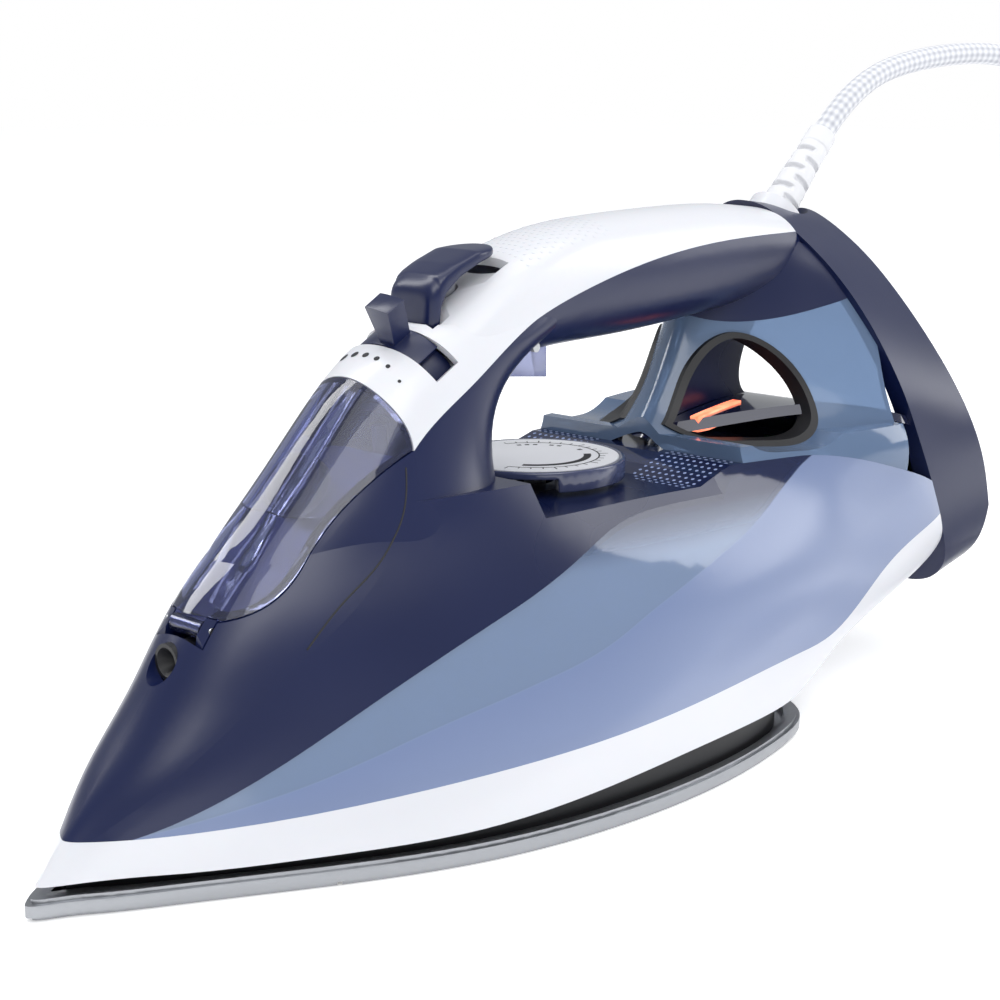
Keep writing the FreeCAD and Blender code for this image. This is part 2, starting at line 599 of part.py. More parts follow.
# steam slider: a saddle that turns about an axis laid along the handle's front slope
SLOPE = math.radians(30.0)
CROWN = 17.0 * SCALE_Y
slider_along = Vector(math.cos(SLOPE), 0, math.sin(SLOPE))
slider_up = Vector(-math.sin(SLOPE), 0, math.cos(SLOPE))
slider_ridge = point(109.0, 0, 118.2)
slider_centre = slider_ridge - slider_up * CROWN
slider_turn = Rotation(slider_up, Vector(0, -1, 0), slider_along, "XZY")
SADDLE_LENGTH = 7.6


def saddle(inner, outer, length, from_angle, to_angle):
    """A ring segment about the slider's axis; angle 0 is straight out of the crown."""
    ring = Part.makeCylinder(outer, length, Vector(0, 0, -length / 2))
    ring = ring.cut(Part.makeCylinder(inner, length + 2, Vector(0, 0, -length / 2 - 1)))
    reach = 3 * outer
    a, b = math.radians(from_angle), math.radians(to_angle)
    wedge = Part.makePolygon([Vector(0, 0, -length),
                              Vector(reach * math.cos(a), reach * math.sin(a), -length),
                              Vector(reach * 1.5, 0, -length),
                              Vector(reach * math.cos(b), reach * math.sin(b), -length),
                              Vector(0, 0, -length)])
    wedge = Part.Face(wedge).extrude(Vector(0, 0, 2 * length))
    item = ring.common(wedge)
    item.Placement = FreeCAD.Placement(slider_centre, slider_turn)
    return item


def slider_rod(radius, low, high):
    """A cylinder on the slider's axis between two places along it."""
    rod = Part.makeCylinder(radius, high - low, Vector(0, 0, low))
    rod.Placement = FreeCAD.Placement(slider_centre, slider_turn)
    return rod


band = saddle(CROWN - 1.8, CROWN + 0.5, SADDLE_LENGTH, -40, 44)
tab = saddle(CROWN - 1.8, CROWN + 11.0, SADDLE_LENGTH - 1.6, 2, 18)
spoke = saddle(2.2, CROWN - 1.0, 3.0, -9, 9)
slider = band.fuse([tab, spoke, slider_rod(3.4, -3.5, 3.5)]).cut(slider_rod(1.5 + RUN, -9, 9))
slider_slot = saddle(CROWN - 2.6, CROWN + 12, SADDLE_LENGTH + 2 * FIT, -60, 64)
bracket = side_region([(112, 80), (150, 80)], [(150, 80), (150, 121)], [(150, 121), (112, 121)],
                      [(112, 121), (112, 80)])
bracket_plate = Part.makeBox(14, 60, 2.5, Vector(-7, -30, 4.2))
bracket_plate.Placement = FreeCAD.Placement(slider_centre, slider_turn)
pillar_shrunk = level_loft(PILLAR, inset=WALL + FIT, below=3, above=-2 - FIT)
bracket = bracket_plate.common(pillar_shrunk).fuse(slider_rod(1.5, -3.4, 5.5))
bracket = bracket.cut(upright(size("pump_radius") - 1.4, 80, 140, PUMP_X))
feature("slider_bracket", bracket)
feature("steam_slider", slider)

# trigger under the handle's front corner, on a pin across the bar
TRIGGER_PIN = point(147.5, 0, 113.0)
TRIGGER_HALF = size("trigger_width") / 2
trigger = side_region([(146.4, 104.6), (161, 103)], [(161, 103), (161, 113.6)],
                      [(161, 113.6), (152, 115.4), (144.6, 115.4)],
                      [(144.6, 115.4), (144.6, 110), (146.4, 104.6)], half_width=TRIGGER_HALF)
trigger = trigger.cut(across(PIN_R + RUN, 20, TRIGGER_PIN))
trigger_room = side_region([(141.5, 104), (163, 101)], [(163, 101), (163, 120)],
                           [(163, 120), (141.5, 120)], [(141.5, 120), (141.5, 104)],
                           half_width=TRIGGER_HALF + FIT)
trigger_reach = 14.4 * SCALE_Y
feature("steam_trigger", trigger)
feature("trigger_pin", across(PIN_R, trigger_reach, TRIGGER_PIN))
handle = handle.cut([trigger_room, shaft_tunnel, across(PIN_R, trigger_reach, TRIGGER_PIN)])
feature("handle_body", handle)
white = white.cut([button_room, slider_slot, stem_room])
feature("handle_top", white)

# spray pump under the button, its stem and the hose to the nozzle
pump = upright(size("pump_radius") - 2, PUMP_LOW, PUMP_HIGH, PUMP_X)
flange = Part.makeBox(24, 50, 2.5, Vector(PUMP_X - 13, -25, PUMP_LOW + 6))
pump = pump.fuse(flange.common(pillar_shrunk))
pump = pump.fuse(upright(size("hose_radius"), PUMP_LOW - 3, PUMP_LOW, PUMP_X))
pump = pump.cut(upright(PLUNGER_R + RUN, PUMP_LOW + 3, PUMP_HIGH + 1, PUMP_X))
feature("pump_body", pump)
SPRING_HIGH = PUMP_HIGH + 7.4
stem = upright(PLUNGER_R, PUMP_HIGH - 13, 131 * SCALE_Z, PUMP_X)
stem = stem.fuse(upright(PLUNGER_R + 2.2, SPRING_HIGH, SPRING_HIGH + 1.5, PUMP_X))
feature("spray_button", button_shape)
feature("pump_plunger", stem.cut(button_shape))
SPRING_R = PLUNGER_R + 1.3
coil_wire = Part.makeHelix(2.2, 6.6, SPRING_R)
coil_start = coil_wire.Edges[0]
spring_ring = Part.Wire([Part.makeCircle(size("spring_wire") / 2,
                                         coil_start.valueAt(coil_start.FirstParameter),
                                         coil_start.tangentAt(coil_start.FirstParameter))])
spring = Part.Wire(coil_wire.Edges).makePipeShell([spring_ring], True, True)
spring.translate(Vector(PUMP_X, 0, PUMP_HIGH + size("spring_wire") / 2 + 0.05))
feature("pump_spring", spring)


def round_route(points):
    """A wire of straight runs joined by tangent arcs, each 0.45 of its shorter run."""
    edges = []
    last = points[0]
    for before, corner, after in zip(points, points[1:], points[2:]):
        run_in, run_out = corner - before, after - corner
        shorter = min(run_in.Length, run_out.Length)
        turn = run_in.getAngle(run_out)
        cutback = 0.45 * shorter
        arc_in = corner - Vector(run_in).normalize() * cutback
        arc_out = corner + Vector(run_out).normalize() * cutback
        radius = cutback / math.tan(turn / 2)
        inward = (Vector(run_out).normalize() - Vector(run_in).normalize()).normalize()
        middle = corner + inward * (math.hypot(cutback, radius) - radius)
        edges.append(Part.LineSegment(last, arc_in).toShape())
        edges.append(Part.Arc(arc_in, middle, arc_out).toShape())
        ROUTE_RADII.append(radius)
        last = arc_out
    edges.append(Part.LineSegment(last, points[-1]).toShape())
    return Part.Wire(edges)


ROUTE_RADII = []
NOZZLE_LENGTH = 9.0
nozzle = Part.makeCylinder(NOZZLE_R, NOZZLE_LENGTH, NOZZLE + Vector(0.6, 0, 0), Vector(1, 0, 0))
mouth = Part.makeCone(NOZZLE_R - 0.9, 1.2, 3.0, NOZZLE + Vector(0.6, 0, 0), Vector(1, 0, 0))
jet = Part.makeCylinder(0.6, 20, NOZZLE, Vector(1, 0, 0))
feature("spray_nozzle", nozzle.cut([mouth, jet]))
hose_start = NOZZLE + Vector(0.6 + NOZZLE_LENGTH, 0, 0)
hose_route = [hose_start, hose_start + Vector(9, 1, 1.5), point(74, 6, 58), point(92, 8, 68),
              point(108, 8, 74), point(124, 4, 72), Vector(PUMP_X, 0, PUMP_LOW - 3)]
hose = tube_along(round_route(hose_route), size("hose_radius"))
feature("spray_hose", hose)

# filler tray and its round valve cap under the cover
tray_line = [(50.5, 55.7), (57, 58.8), (65, 64.2), (73, 72.0), (84, 81), (97, 90)]
tray = side_region(raised(tray_line, 1.6), [(97, 91.6), (97, 90)], tray_line[::-1],
                   [(50.5, 55.7), (50.5, 57.3)])
hull_shrunk = level_loft(HULL, inset=WALL + FIT, below=3, above=3)
TRAY_LEAN = math.radians(48.0)
tray_up = Vector(-math.sin(TRAY_LEAN), 0, math.cos(TRAY_LEAN))
VALVE_FOOT = point(84.5, 0, 80.5)
valve_hole = Part.makeCylinder(5.0, 30, VALVE_FOOT - tray_up * 10, tray_up)
tray = tray.common(hull_shrunk.fuse(pillar_shrunk)).cut(valve_hole)
tray = tray.cut(across(KNUCKLE + 1.2, 9, HINGE))
feature("filler_tray", tray)
valve_cap = Part.makeCylinder(8.2, 4.5, VALVE_FOOT + tray_up * 4.0, tray_up)
valve_cap = valve_cap.fuse(Part.makeCylinder(4.9, 9.0, VALVE_FOOT - tray_up * 3.0, tray_up))
feature("filler_valve", valve_cap)

# dosing valve stem between the slider and the steam chamber
feature("dosing_stem", upright(VALVE_RADIUS, CASTING_TOP + 0.4, 96 * SCALE_Z, VALVE_X))

# ---------------------------------------------------------------- neck, fin, floor and heel cap
EYE = [(207, 84.5), (213, 92), (220.5, 103), (231, 109), (243, 101.5), (246.5, 89.5),
       (245, 85), (236.5, 79.5), (222, 79), (211, 81), (207, 84.5)]
FLOOR = [(196, 82), (205, 83), (213, 84.5), (230, 87), (250, 88), (270, 84.5), (290, 78),
         (312, 70)]
rear_hull = side_region([(193, 40), (320, 40)], [(320, 40), (320, 79.8)],
                        [(320, 79.8), (193, 79.8)], [(193, 79.8), (193, 40)])
rear_only = side_region([(193, 40), (320, 40)], [(320, 40), (320, 170)],
                        [(320, 170), (193, 170)], [(193, 170), (193, 40)])
neck_mass = neck_outer.fuse(hull_outer.common(rear_only))
neck_room = neck_inner.fuse(hull_inner.common(rear_hull))
over_neck = above(*NECK_RUNS)
eye_region = side_region(EYE)
neck_skin = neck_mass.cut(neck_room).common(over_neck).common(before_seam)
collar = neck_skin.common(above(COLLAR_EDGE)).cut(bar_outer)
neck = neck_skin.common(below(COLLAR_EDGE)).cut(eye_region).cut(bar_outer)
feature("neck_shell", neck)
feature("rear_collar", collar)

cap_room = cap_loft(inset=size("cap_wall"), ahead=3, behind=3)
neck_shrunk = level_loft(NECK, inset=WALL + FIT, below=3, above=3)
cap_shrunk = cap_loft(inset=size("cap_wall") + FIT, ahead=3, behind=3)
CAP_LINTEL = 124.0
window = side_region(raised(FLOOR, -2.5 - FIT), [(312, 70 - 2.5 - FIT), (330, CAP_LINTEL)],
                     [(330, CAP_LINTEL), (196, CAP_LINTEL)],
                     [(196, CAP_LINTEL), (196, 82 - 2.5 - FIT)])
BACK_WALL = 3.0
rear_face = seam_station(-20, REAR_AT_SIXTY - BACK_WALL)
before_back = side_region([(196, -20), (rear_face, -20)],
                          [(rear_face, -20), (seam_station(110, REAR_AT_SIXTY - BACK_WALL), 110)],
                          [(seam_station(110, REAR_AT_SIXTY - BACK_WALL), 110), (196, 110)],
                          [(196, 110), (196, -20)])
under_floor = below(raised(FLOOR, -2.5 - FIT - BACK_WALL))
cap_pocket = cap_room.common(before_back).common(under_floor).common(rear_limit(BACK_WALL))
relief_foot = point(264.0, 0, 137.0)
relief_tip = point(291, 0, 163.5)
relief_run = (relief_tip - relief_foot).Length
relief_axis = (relief_tip - relief_foot).normalize()
BUSH_RADIUS = size("relief_radius") + 2.4
bush_hole = Part.makeCylinder(BUSH_RADIUS + 0.1, 60, relief_foot - relief_axis * 6, relief_axis)
CAP_SCREWS = [(50, 30), (50, -30)]
cap_screw_holes = []
for height, y in CAP_SCREWS:
    x = seam_station(height, REAR_AT_SIXTY)
    mouth = point(x, y, height) + Vector(4, 0, 0)
    cap_screw_holes.append(Part.makeCylinder(size("screw_head") + 0.4, 5.8, mouth,
                                             Vector(-1, 0, 0)))
    cap_screw_holes.append(Part.makeCylinder(SCREW_R + 0.1, 30, mouth, Vector(-1, 0, 0)))
cap = cap_outer.cut(cap_room.common(window)).cut(cap_pocket).cut([bush_hole] + cap_screw_holes)
feature("heel_cap", cap)

floor_slab = side_region(FLOOR, [(312, 70), (312, 67.5)], raised(FLOOR, -2.5)[::-1],
                         [(196, 79.5), (196, 82)])
behind_seam = side_region([(seam_station(40), 40), (330, 40)], [(330, 40), (330, 170)],
                          [(330, 170), (seam_station(170), 170)],
                          [(seam_station(170), 170), (seam_station(40), 40)])
floor_room = neck_shrunk.common(before_seam).fuse(cap_shrunk.common(behind_seam))
heel_floor = floor_slab.common(floor_room).common(cap_outer.fuse(neck_outer))
FIN_HALF = 4.0
fin_region = side_region([(196, 82.2), (205, 83.2), (213, 84.7), (230, 87.2), (250, 88.2)],
                         [(250, 88.2), (247, 93), (248, 100), (251, 106), (256, 113),
                          (262, 120)], [(262, 120), (196, 120)], [(196, 120), (196, 82.2)],
                         half_width=FIN_HALF)
fin = fin_region.common(neck_shrunk).common(before_seam).cut(bar_outer)
lamp_y, lamp_half = -11.0, 1.6
lamp_slot = Part.makeBox(20 * SCALE_X, 2 * lamp_half, 8,
                         point(217, lamp_y, 81.5) - Vector(0, lamp_half, 0))
lamp_body = Part.makeBox(20 * SCALE_X - 0.2, 2 * lamp_half - 0.2, 8,
                         point(217, lamp_y, 81.5) - Vector(-0.1, lamp_half - 0.1, 0))
lamp_top = below(raised(FLOOR, 0.6))
feature("heel_floor", heel_floor.cut(lamp_slot))
feature("lamp_lens", lamp_body.common(lamp_top).common(above(raised(FLOOR, -4.5))))
feature("rear_fin", fin)

eye_inner = side_region([(209, 84.8), (214.5, 91.5), (221.7, 101.7), (231.2, 107.3),
                         (241.7, 100.4), (244.8, 89.4), (243.4, 85.6), (235.9, 80.9),
                         (222.4, 80.4), (212, 82), (209, 84.8)])
neck_lip = level_loft(NECK, inset=-0.7).cut(level_loft(NECK, inset=WALL + 2.0, below=3, above=3))
rims = neck_lip.common(eye_region).cut(eye_inner).cut(fin).cut(heel_floor)
right_half = Part.makeBox(400, 100, 300, Vector(-200, 2.0, -20))
left_half = Part.makeBox(400, 100, 300, Vector(-200, -102.0, -20))
feature("eye_rim_left", rims.common(right_half))
feature("eye_rim_right", rims.common(left_half))


# ---------------------------------------------------------------- temperature dial
ring_low = Vector(DIAL_X, 0, DIAL_TOP - size("dial_rim"))
bind = {"Radius": "Sizes.dial_radius", "Height": "Sizes.dial_rim"}
ring = primitive("Cylinder", "DialRim", ring_low, **bind)
tab_low = Vector(DIAL_X, 0, DIAL_TOP - size("dial_tab_depth"))
TAB_FROM, TAB_SWEEP = -122.0, 80.0
grip = primitive("Cylinder", "DialGrip", tab_low, Rotation(Vector(0, 0, 1), TAB_FROM),
                 Radius="Sizes.dial_radius", Height="Sizes.dial_tab_depth")
grip.Angle = TAB_SWEEP
grip_core = primitive("Cylinder", "DialGripCore", tab_low - Vector(0, 0, 1),
                      Radius="Sizes.dial_radius - 4.5", Height="Sizes.dial_tab_depth + 2")
grip_wall = cut("DialGripWall", grip, grip_core)
hub = primitive("Cylinder", "DialHub", tab_low, Radius="Sizes.shaft_radius + 3.5",
                Height="Sizes.dial_tab_depth")
recess = primitive("Cylinder", "DialRecess",
                   Vector(DIAL_X, 0, DIAL_TOP - size("disc_thick")),
                   Radius="Sizes.disc_radius", Height="Sizes.disc_thick + 1")
socket = primitive("Cylinder", "DialSocket", tab_low - Vector(0, 0, 5),
                   Radius="Sizes.shaft_radius", Height="Sizes.dial_tab_depth + 8")
keep(cut("DialBody", fuse("DialBody", ring, grip_wall, hub), recess, socket), "dial_ring")
keep(primitive("Cylinder", "DialDisc", Vector(DIAL_X, 0, DIAL_TOP - size("disc_thick")),
               Radius="Sizes.disc_radius", Height="Sizes.disc_thick"), "dial_disc")
THERMOSTAT_TOP = CASTING_TOP + 10.0
shaft_low = THERMOSTAT_TOP + FIT
shaft = primitive("Cylinder", "Shaft", Vector(DIAL_X, 0, shaft_low), Radius="Sizes.shaft_radius")
shaft.Height = DIAL_TOP - size("disc_thick") - shaft_low
keep(shaft, "dial_shaft")
thermostat = primitive("Cylinder", "ThermostatCan", Vector(DIAL_X, 0, CASTING_TOP))
thermostat.Radius, thermostat.Height = 8.5, 5.0
neck_can = primitive("Cylinder", "ThermostatNeck", Vector(DIAL_X, 0, CASTING_TOP + 5.0))
neck_can.Radius, neck_can.Height = 4.5, 5.0
keep(fuse("ThermostatBody", thermostat, neck_can), "thermostat")
fuse_can = primitive("Cylinder", "FuseCan", Vector(station_x(178), 0, LID_TOP + 2.5),
                     Rotation(Vector(0, 1, 0), 90))
fuse_can.Radius, fuse_can.Height = 2.5, 17.0
keep(fuse_can, "thermal_fuse")

# ---------------------------------------------------------------- heel electrics and screws
board_foot = point(304, 0, 40)
board = doc.addObject("Part::Box", "BoardPlate")
board.Length, board.Width, board.Height = 1.6, 56.0, 24.0
board.Placement = FreeCAD.Placement(board_foot + Vector(0, -28, 0), Rotation())
relay = doc.addObject("Part::Box", "Relay")
relay.Length, relay.Width, relay.Height = 9.0, 18.0, 14.0
relay.Placement = FreeCAD.Placement(board_foot + Vector(-9.0, -24, 5), Rotation())
legs = []
for leg_y in (-24, 22):
    leg = doc.addObject("Part::Box", "BoardLeg")
    leg.Length, leg.Width, leg.Height = 6.2, 2.0, 2.0
    place = board_foot + Vector(1.6, leg_y, 13)
    leg.Placement = FreeCAD.Placement(place, Rotation())
    legs.append(leg)
keep(fuse("Board", board, relay, *legs), "control_board")
block = doc.addObject("Part::Box", "TerminalBlock")
block.Length, block.Width, block.Height = 10.0, 20.0, 12.0
block.Placement = FreeCAD.Placement(board_foot + Vector(-10.0, 4, 6), Rotation())
keep(block, "terminal_block")
heel_screw_set = []
for height, y in CAP_SCREWS:
    head_back = point(seam_station(height, REAR_AT_SIXTY), y, height) + Vector(-0.2, 0, 0)
    head = Part.makeCylinder(size("screw_head"), 1.6, head_back, Vector(-1, 0, 0))
    shank = Part.makeCylinder(SCREW_R, size("screw_length") * 0.8, head_back, Vector(-1, 0, 0))
    heel_screw_set.append(head.fuse(shank))
feature("heel_screws", Part.makeCompound(heel_screw_set))

# ---------------------------------------------------------------- mains lead
bush_low = relief_foot - relief_axis * 3
bush = Part.makeCylinder(BUSH_RADIUS, 9.0, bush_low, relief_axis)
bush = bush.cut(Part.makeCylinder(size("relief_radius"), 20, bush_low - relief_axis, relief_axis))
feature("cord_bushing", bush)
RELIEF_BASE = 8.0
relief = Part.makeCylinder(size("relief_radius"), RELIEF_BASE + 3, bush_low, relief_axis)
relief = relief.fuse(Part.makeCone(size("relief_radius"), size("relief_tip"),
                                   relief_run - RELIEF_BASE, bush_low + relief_axis
                                   * (RELIEF_BASE + 3), relief_axis))
feature("strain_relief", relief)

CORD_R = size("cord_radius")
FLOOR_Z = CORD_R
# Route of the lead from the strain relief's tip over the heel to the floor.
LEAD_TURNS = [(188, -2, 188), (230, -9, 189), (272, -20, 172), (300, -30, 142), (312, -38, 104),
              (314, -43, 64)]
COIL_R, COIL_T = size("coil_radius"), size("coil_section")
coil_reach = COIL_R + COIL_T
coil_centre = Vector(212, -84, 0)
COIL_WAY = Vector(math.cos(math.radians(22)), math.sin(math.radians(22)), 0)
lead_low = [coil_centre + COIL_WAY * 104.6 + Vector(0, 0, 26.7),
            coil_centre + COIL_WAY * 81.4 + Vector(0, 0, FLOOR_Z),
            coil_centre + COIL_WAY * (coil_reach - 1.5) + Vector(0, 0, FLOOR_Z)]
LEAD = [relief_tip, relief_tip + relief_axis * 22.6] + [Vector(*p) for p in LEAD_TURNS] + lead_low
coil = Part.makeCylinder(coil_reach, 2 * COIL_T, coil_centre)
coil = coil.cut(Part.makeCylinder(COIL_R - COIL_T, 2 * COIL_T + 2, coil_centre - Vector(0, 0, 1)))
coil = coil.makeFillet(COIL_T * 0.55, [edge for edge in coil.Edges
                                       if hasattr(edge.Curve, "Radius")])
lead = tube_along(round_route(LEAD), CORD_R)
feature("cord_lead", lead)
feature("cord_coil", coil)
PLUG_R = size("plug_radius")
tail_way = Vector(-0.93, -0.37, 0).normalize()
tail_from = coil_centre + tail_way * (coil_reach - 1.5) + Vector(0, 0, COIL_T)
tail_to = coil_centre + tail_way * (coil_reach + 14) + Vector(0, 0, PLUG_R)
tail_axis = (tail_to - tail_from).normalize()
tail = Part.makeCylinder(CORD_R, (tail_to - tail_from).Length, tail_from, tail_axis)
feature("cord_tail", tail)
plug_foot = tail_to - tail_way * 2.0
grip_length = size("plug_length") * 0.45
plug = Part.makeCone(PLUG_R * 0.5, PLUG_R, grip_length, plug_foot, tail_way)
plug = plug.fuse(Part.makeCylinder(PLUG_R, size("plug_length") - grip_length,
                                   plug_foot + tail_way * grip_length, tail_way))
feature("plug_body", plug)
plug_face = plug_foot + tail_way * size("plug_length")
pin_side = Vector(-tail_way.y, tail_way.x, 0) * (size("plug_pin_pitch") / 2)
pins = [Part.makeCylinder(size("plug_pin_radius"), size("plug_pin_length"),
                          plug_face + pin_side * side, tail_way) for side in (-1, 1)]
feature("plug_pins", Part.makeCompound(pins))
print("route radii", [round(r, 1) for r in ROUTE_RADII])

doc.recompute()
for item in doc.Objects:
    if "Invalid" in item.State or "Error" in item.State:
        raise RuntimeError("failed object: " + item.Name)
for item in NODES:
    if item.Shape.isNull() or not item.Shape.isValid():
        raise RuntimeError("no valid shape: " + item.Label)
    item.Shape.exportStep("parts/%s.step" % item.Label)
    print(item.Label, len(item.Shape.Solids), round(item.Shape.Volume))
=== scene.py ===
"""Steam iron: the finished looks, laid out as a Blender add-on and run as a script.

Lengths are metres in the model's frame unless a comment says millimetres or a name ends in
_MM or _mm.
"""
import math

import bmesh
import bpy
import numpy as np
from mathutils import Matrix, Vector
from mathutils.bvhtree import BVHTree


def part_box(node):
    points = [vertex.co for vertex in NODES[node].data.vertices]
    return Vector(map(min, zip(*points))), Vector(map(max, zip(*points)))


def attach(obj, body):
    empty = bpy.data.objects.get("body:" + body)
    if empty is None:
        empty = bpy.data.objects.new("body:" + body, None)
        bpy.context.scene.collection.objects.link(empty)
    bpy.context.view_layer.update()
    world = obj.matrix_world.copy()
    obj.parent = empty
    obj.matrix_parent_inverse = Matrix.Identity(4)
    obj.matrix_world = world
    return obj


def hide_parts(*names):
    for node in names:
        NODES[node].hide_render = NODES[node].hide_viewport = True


bl_info = {
    "name": "Steam Iron",
    "version": (1, 0, 0),
    "blender": (4, 5, 0),
    "location": "3D View > Sidebar > Iron",
    "description": "Builds the visible pieces and finishes of a steam iron",
    "category": "Object",
}

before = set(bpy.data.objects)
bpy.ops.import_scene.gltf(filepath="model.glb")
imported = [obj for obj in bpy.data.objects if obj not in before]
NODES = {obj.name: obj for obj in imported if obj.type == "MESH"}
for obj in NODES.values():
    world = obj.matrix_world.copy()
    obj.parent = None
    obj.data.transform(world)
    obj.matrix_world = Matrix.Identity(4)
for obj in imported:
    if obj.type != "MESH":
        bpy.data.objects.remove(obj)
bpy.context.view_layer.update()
MM = 0.001
# X of the sole's tip, from which stations count back in millimetres.
TIP_X = -0.159


# ---------------------------------------------------------------- small tools
def linear(hex_code):
    """An sRGB hex colour as linear red, green, blue and alpha."""
    value = hex_code.lstrip("#")
    channels = [int(value[i:i + 2], 16) / 255 for i in (0, 2, 4)]
    return tuple(c / 12.92 if c <= 0.04045 else ((c + 0.055) / 1.055) ** 2.4
                 for c in channels) + (1.0,)


def shades(*hex_codes):
    """Several sRGB hex colours as linear ones."""
    return [linear(code) for code in hex_codes]


def add(tree, kind, settings=None, **inputs):
    """Adds a node. settings are its attributes; inputs are values, or (node, output) links.

    An input's name is the socket's name with _ for spaces, or in_N for its number: on a
    colour Mix 0 is the share and 6 and 7 the two colours, and colour 2 is its output.
    """
    node = tree.nodes.new(kind)
    for key, value in (settings or {}).items():
        setattr(node, key, value)
    for key, value in inputs.items():
        name = key.replace("_", " ")
        socket = node.inputs[int(key[3:])] if key.startswith("in_") else node.inputs[name]
        if isinstance(value, tuple) and isinstance(value[0], bpy.types.Node):
            tree.links.new(value[0].outputs[value[1]], socket)
        else:
            socket.default_value = value
    return node


def new_material(name):
    """An empty node material; returns the material and its tree."""
    material = bpy.data.materials.new(name)
    material.use_nodes = True
    material.node_tree.nodes.clear()
    return material, material.node_tree


def close_material(material, shader):
    """Links the shader to the material's output."""
    add(material.node_tree, "ShaderNodeOutputMaterial", Surface=(shader, "BSDF"))
    return material


def object_pattern(tree, *size_mm):
    """Link to Object coordinates scaled so that one pattern unit is size_mm along each axis;
    one size alone holds for all three."""
    where = add(tree, "ShaderNodeTexCoord")
    scale = tuple(1000.0 / size for size in size_mm) * (3 // len(size_mm))
    mapping = add(tree, "ShaderNodeMapping", Vector=(where, "Object"), Scale=scale)
    return mapping, "Vector"


def mesh_piece(name, points, faces, material, body="iron", smooth=True):
    """A mesh object from points and faces, riding on a body unless that is None."""
    mesh = bpy.data.meshes.new(name)
    mesh.from_pydata(np.asarray(points, float).tolist(), [], faces)
    mesh.validate()
    mesh.materials.append(material)
    if smooth:
        mesh.shade_smooth()
    piece = bpy.data.objects.new(name, mesh)
    bpy.context.scene.collection.objects.link(piece)
    if body:
        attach(piece, body)
    return piece


def grid_faces(rows, columns, close_columns=True, cap_ends=False):
    """Quads of a grid of rows by columns, numbered row by row, with optional end caps."""
    row, column = np.meshgrid(np.arange(rows - 1),
                              np.arange(columns if close_columns else columns - 1),
                              indexing="ij")
    here = row * columns + column
    beside = row * columns + (column + 1) % columns
    quads = np.stack([here, beside, beside + columns, here + columns], axis=-1)
    faces = quads.reshape(-1, 4).tolist()
    if cap_ends:
        faces.append(list(range(columns))[::-1])
        faces.append(list(range((rows - 1) * columns, rows * columns)))
    return faces


def outward(piece):
    """Turns all faces of a closed piece outwards."""
    shell = bmesh.new()
    shell.from_mesh(piece.data)
    bmesh.ops.recalc_face_normals(shell, faces=shell.faces)
    shell.to_mesh(piece.data)
    shell.free()


def set_material(material, *names):
    """Gives carried-over nodes a finish."""
    for name in names:
        slots = NODES[name].data.materials
        slots.clear()
        slots.append(material)


# ---------------------------------------------------------------- settings
def colour_setting(name, description, hex_code):
    """A colour that the user can change, with its default as an sRGB hex code."""
    return bpy.props.FloatVectorProperty(
        name=name, description=description, default=linear(hex_code), subtype="COLOR", size=4,
        min=0.0, max=1.0)


class IronColourSettings(bpy.types.PropertyGroup):
    """The colours of the large mouldings and of the lamp, two shades for each."""
    white_dark: colour_setting("White, Darker", "Skirt and handle top", "#cdced3")
    white_light: colour_setting("White, Lighter", "Skirt and handle top", "#d3d4d9")
    navy_dark: colour_setting("Navy, Darker", "Nose, handle and heel cap", "#0b1436")
    navy_light: colour_setting("Navy, Lighter", "Nose, handle and heel cap", "#111b43")
    # The frosted wall's two colours are a painted highlight low down and painted shade up at its
    # crease.
    frosted_foot_highlight: colour_setting("Tank at its Foot", "Frosted wall, low down", "#9aa7c8")
    frosted_crease_shade: colour_setting("Tank at its Crease", "Frosted wall, high up", "#8090b6")
    clear_wall: colour_setting("Tank above its Crease", "Polished wall", "#a3b8da")
    clear_top: colour_setting("Tank Top", "Polished top over the filter tray", "#2b3764")
    lamp_dark: colour_setting("Lamp, Darker", "Indicator's light", "#ff3a12")
    lamp_light: colour_setting("Lamp, Lighter", "Indicator's light", "#ffb48c")


class IronStageSettings(bpy.types.PropertyGroup):
    """The camera, floor and light."""
    lens: bpy.props.FloatProperty(
        name="Lens", description="Focal length on a 36 mm wide sensor", default=67.614,
        subtype="DISTANCE_CAMERA")
    floor_size: bpy.props.FloatProperty(
        name="Floor Size", description="Side of the square floor", default=12.0,
        unit="LENGTH")
    key_power: bpy.props.FloatProperty(
        name="Key Light", description="Power of the main soft box", default=5.0, subtype="POWER")
    even_light: bpy.props.FloatProperty(
        name="Even Light", description="Strength of the broad light on the whole floor",
        default=1.15)
    room_light: bpy.props.FloatProperty(
        name="Room Light", description="Strength of the light from all round", default=0.45)


class IronLeadSettings(bpy.types.PropertyGroup):
    """The mains lead."""
    length: bpy.props.FloatProperty(
        name="Length", description="Real length of the lead", default=2.25,
        unit="LENGTH")
    diameter: bpy.props.FloatProperty(
        name="Diameter", description="Outer diameter of the lead", default=0.007, unit="LENGTH")
    turns: bpy.props.FloatProperty(
        name="Turns", description="Turns of the stored coil", default=7.248, max=7.9)


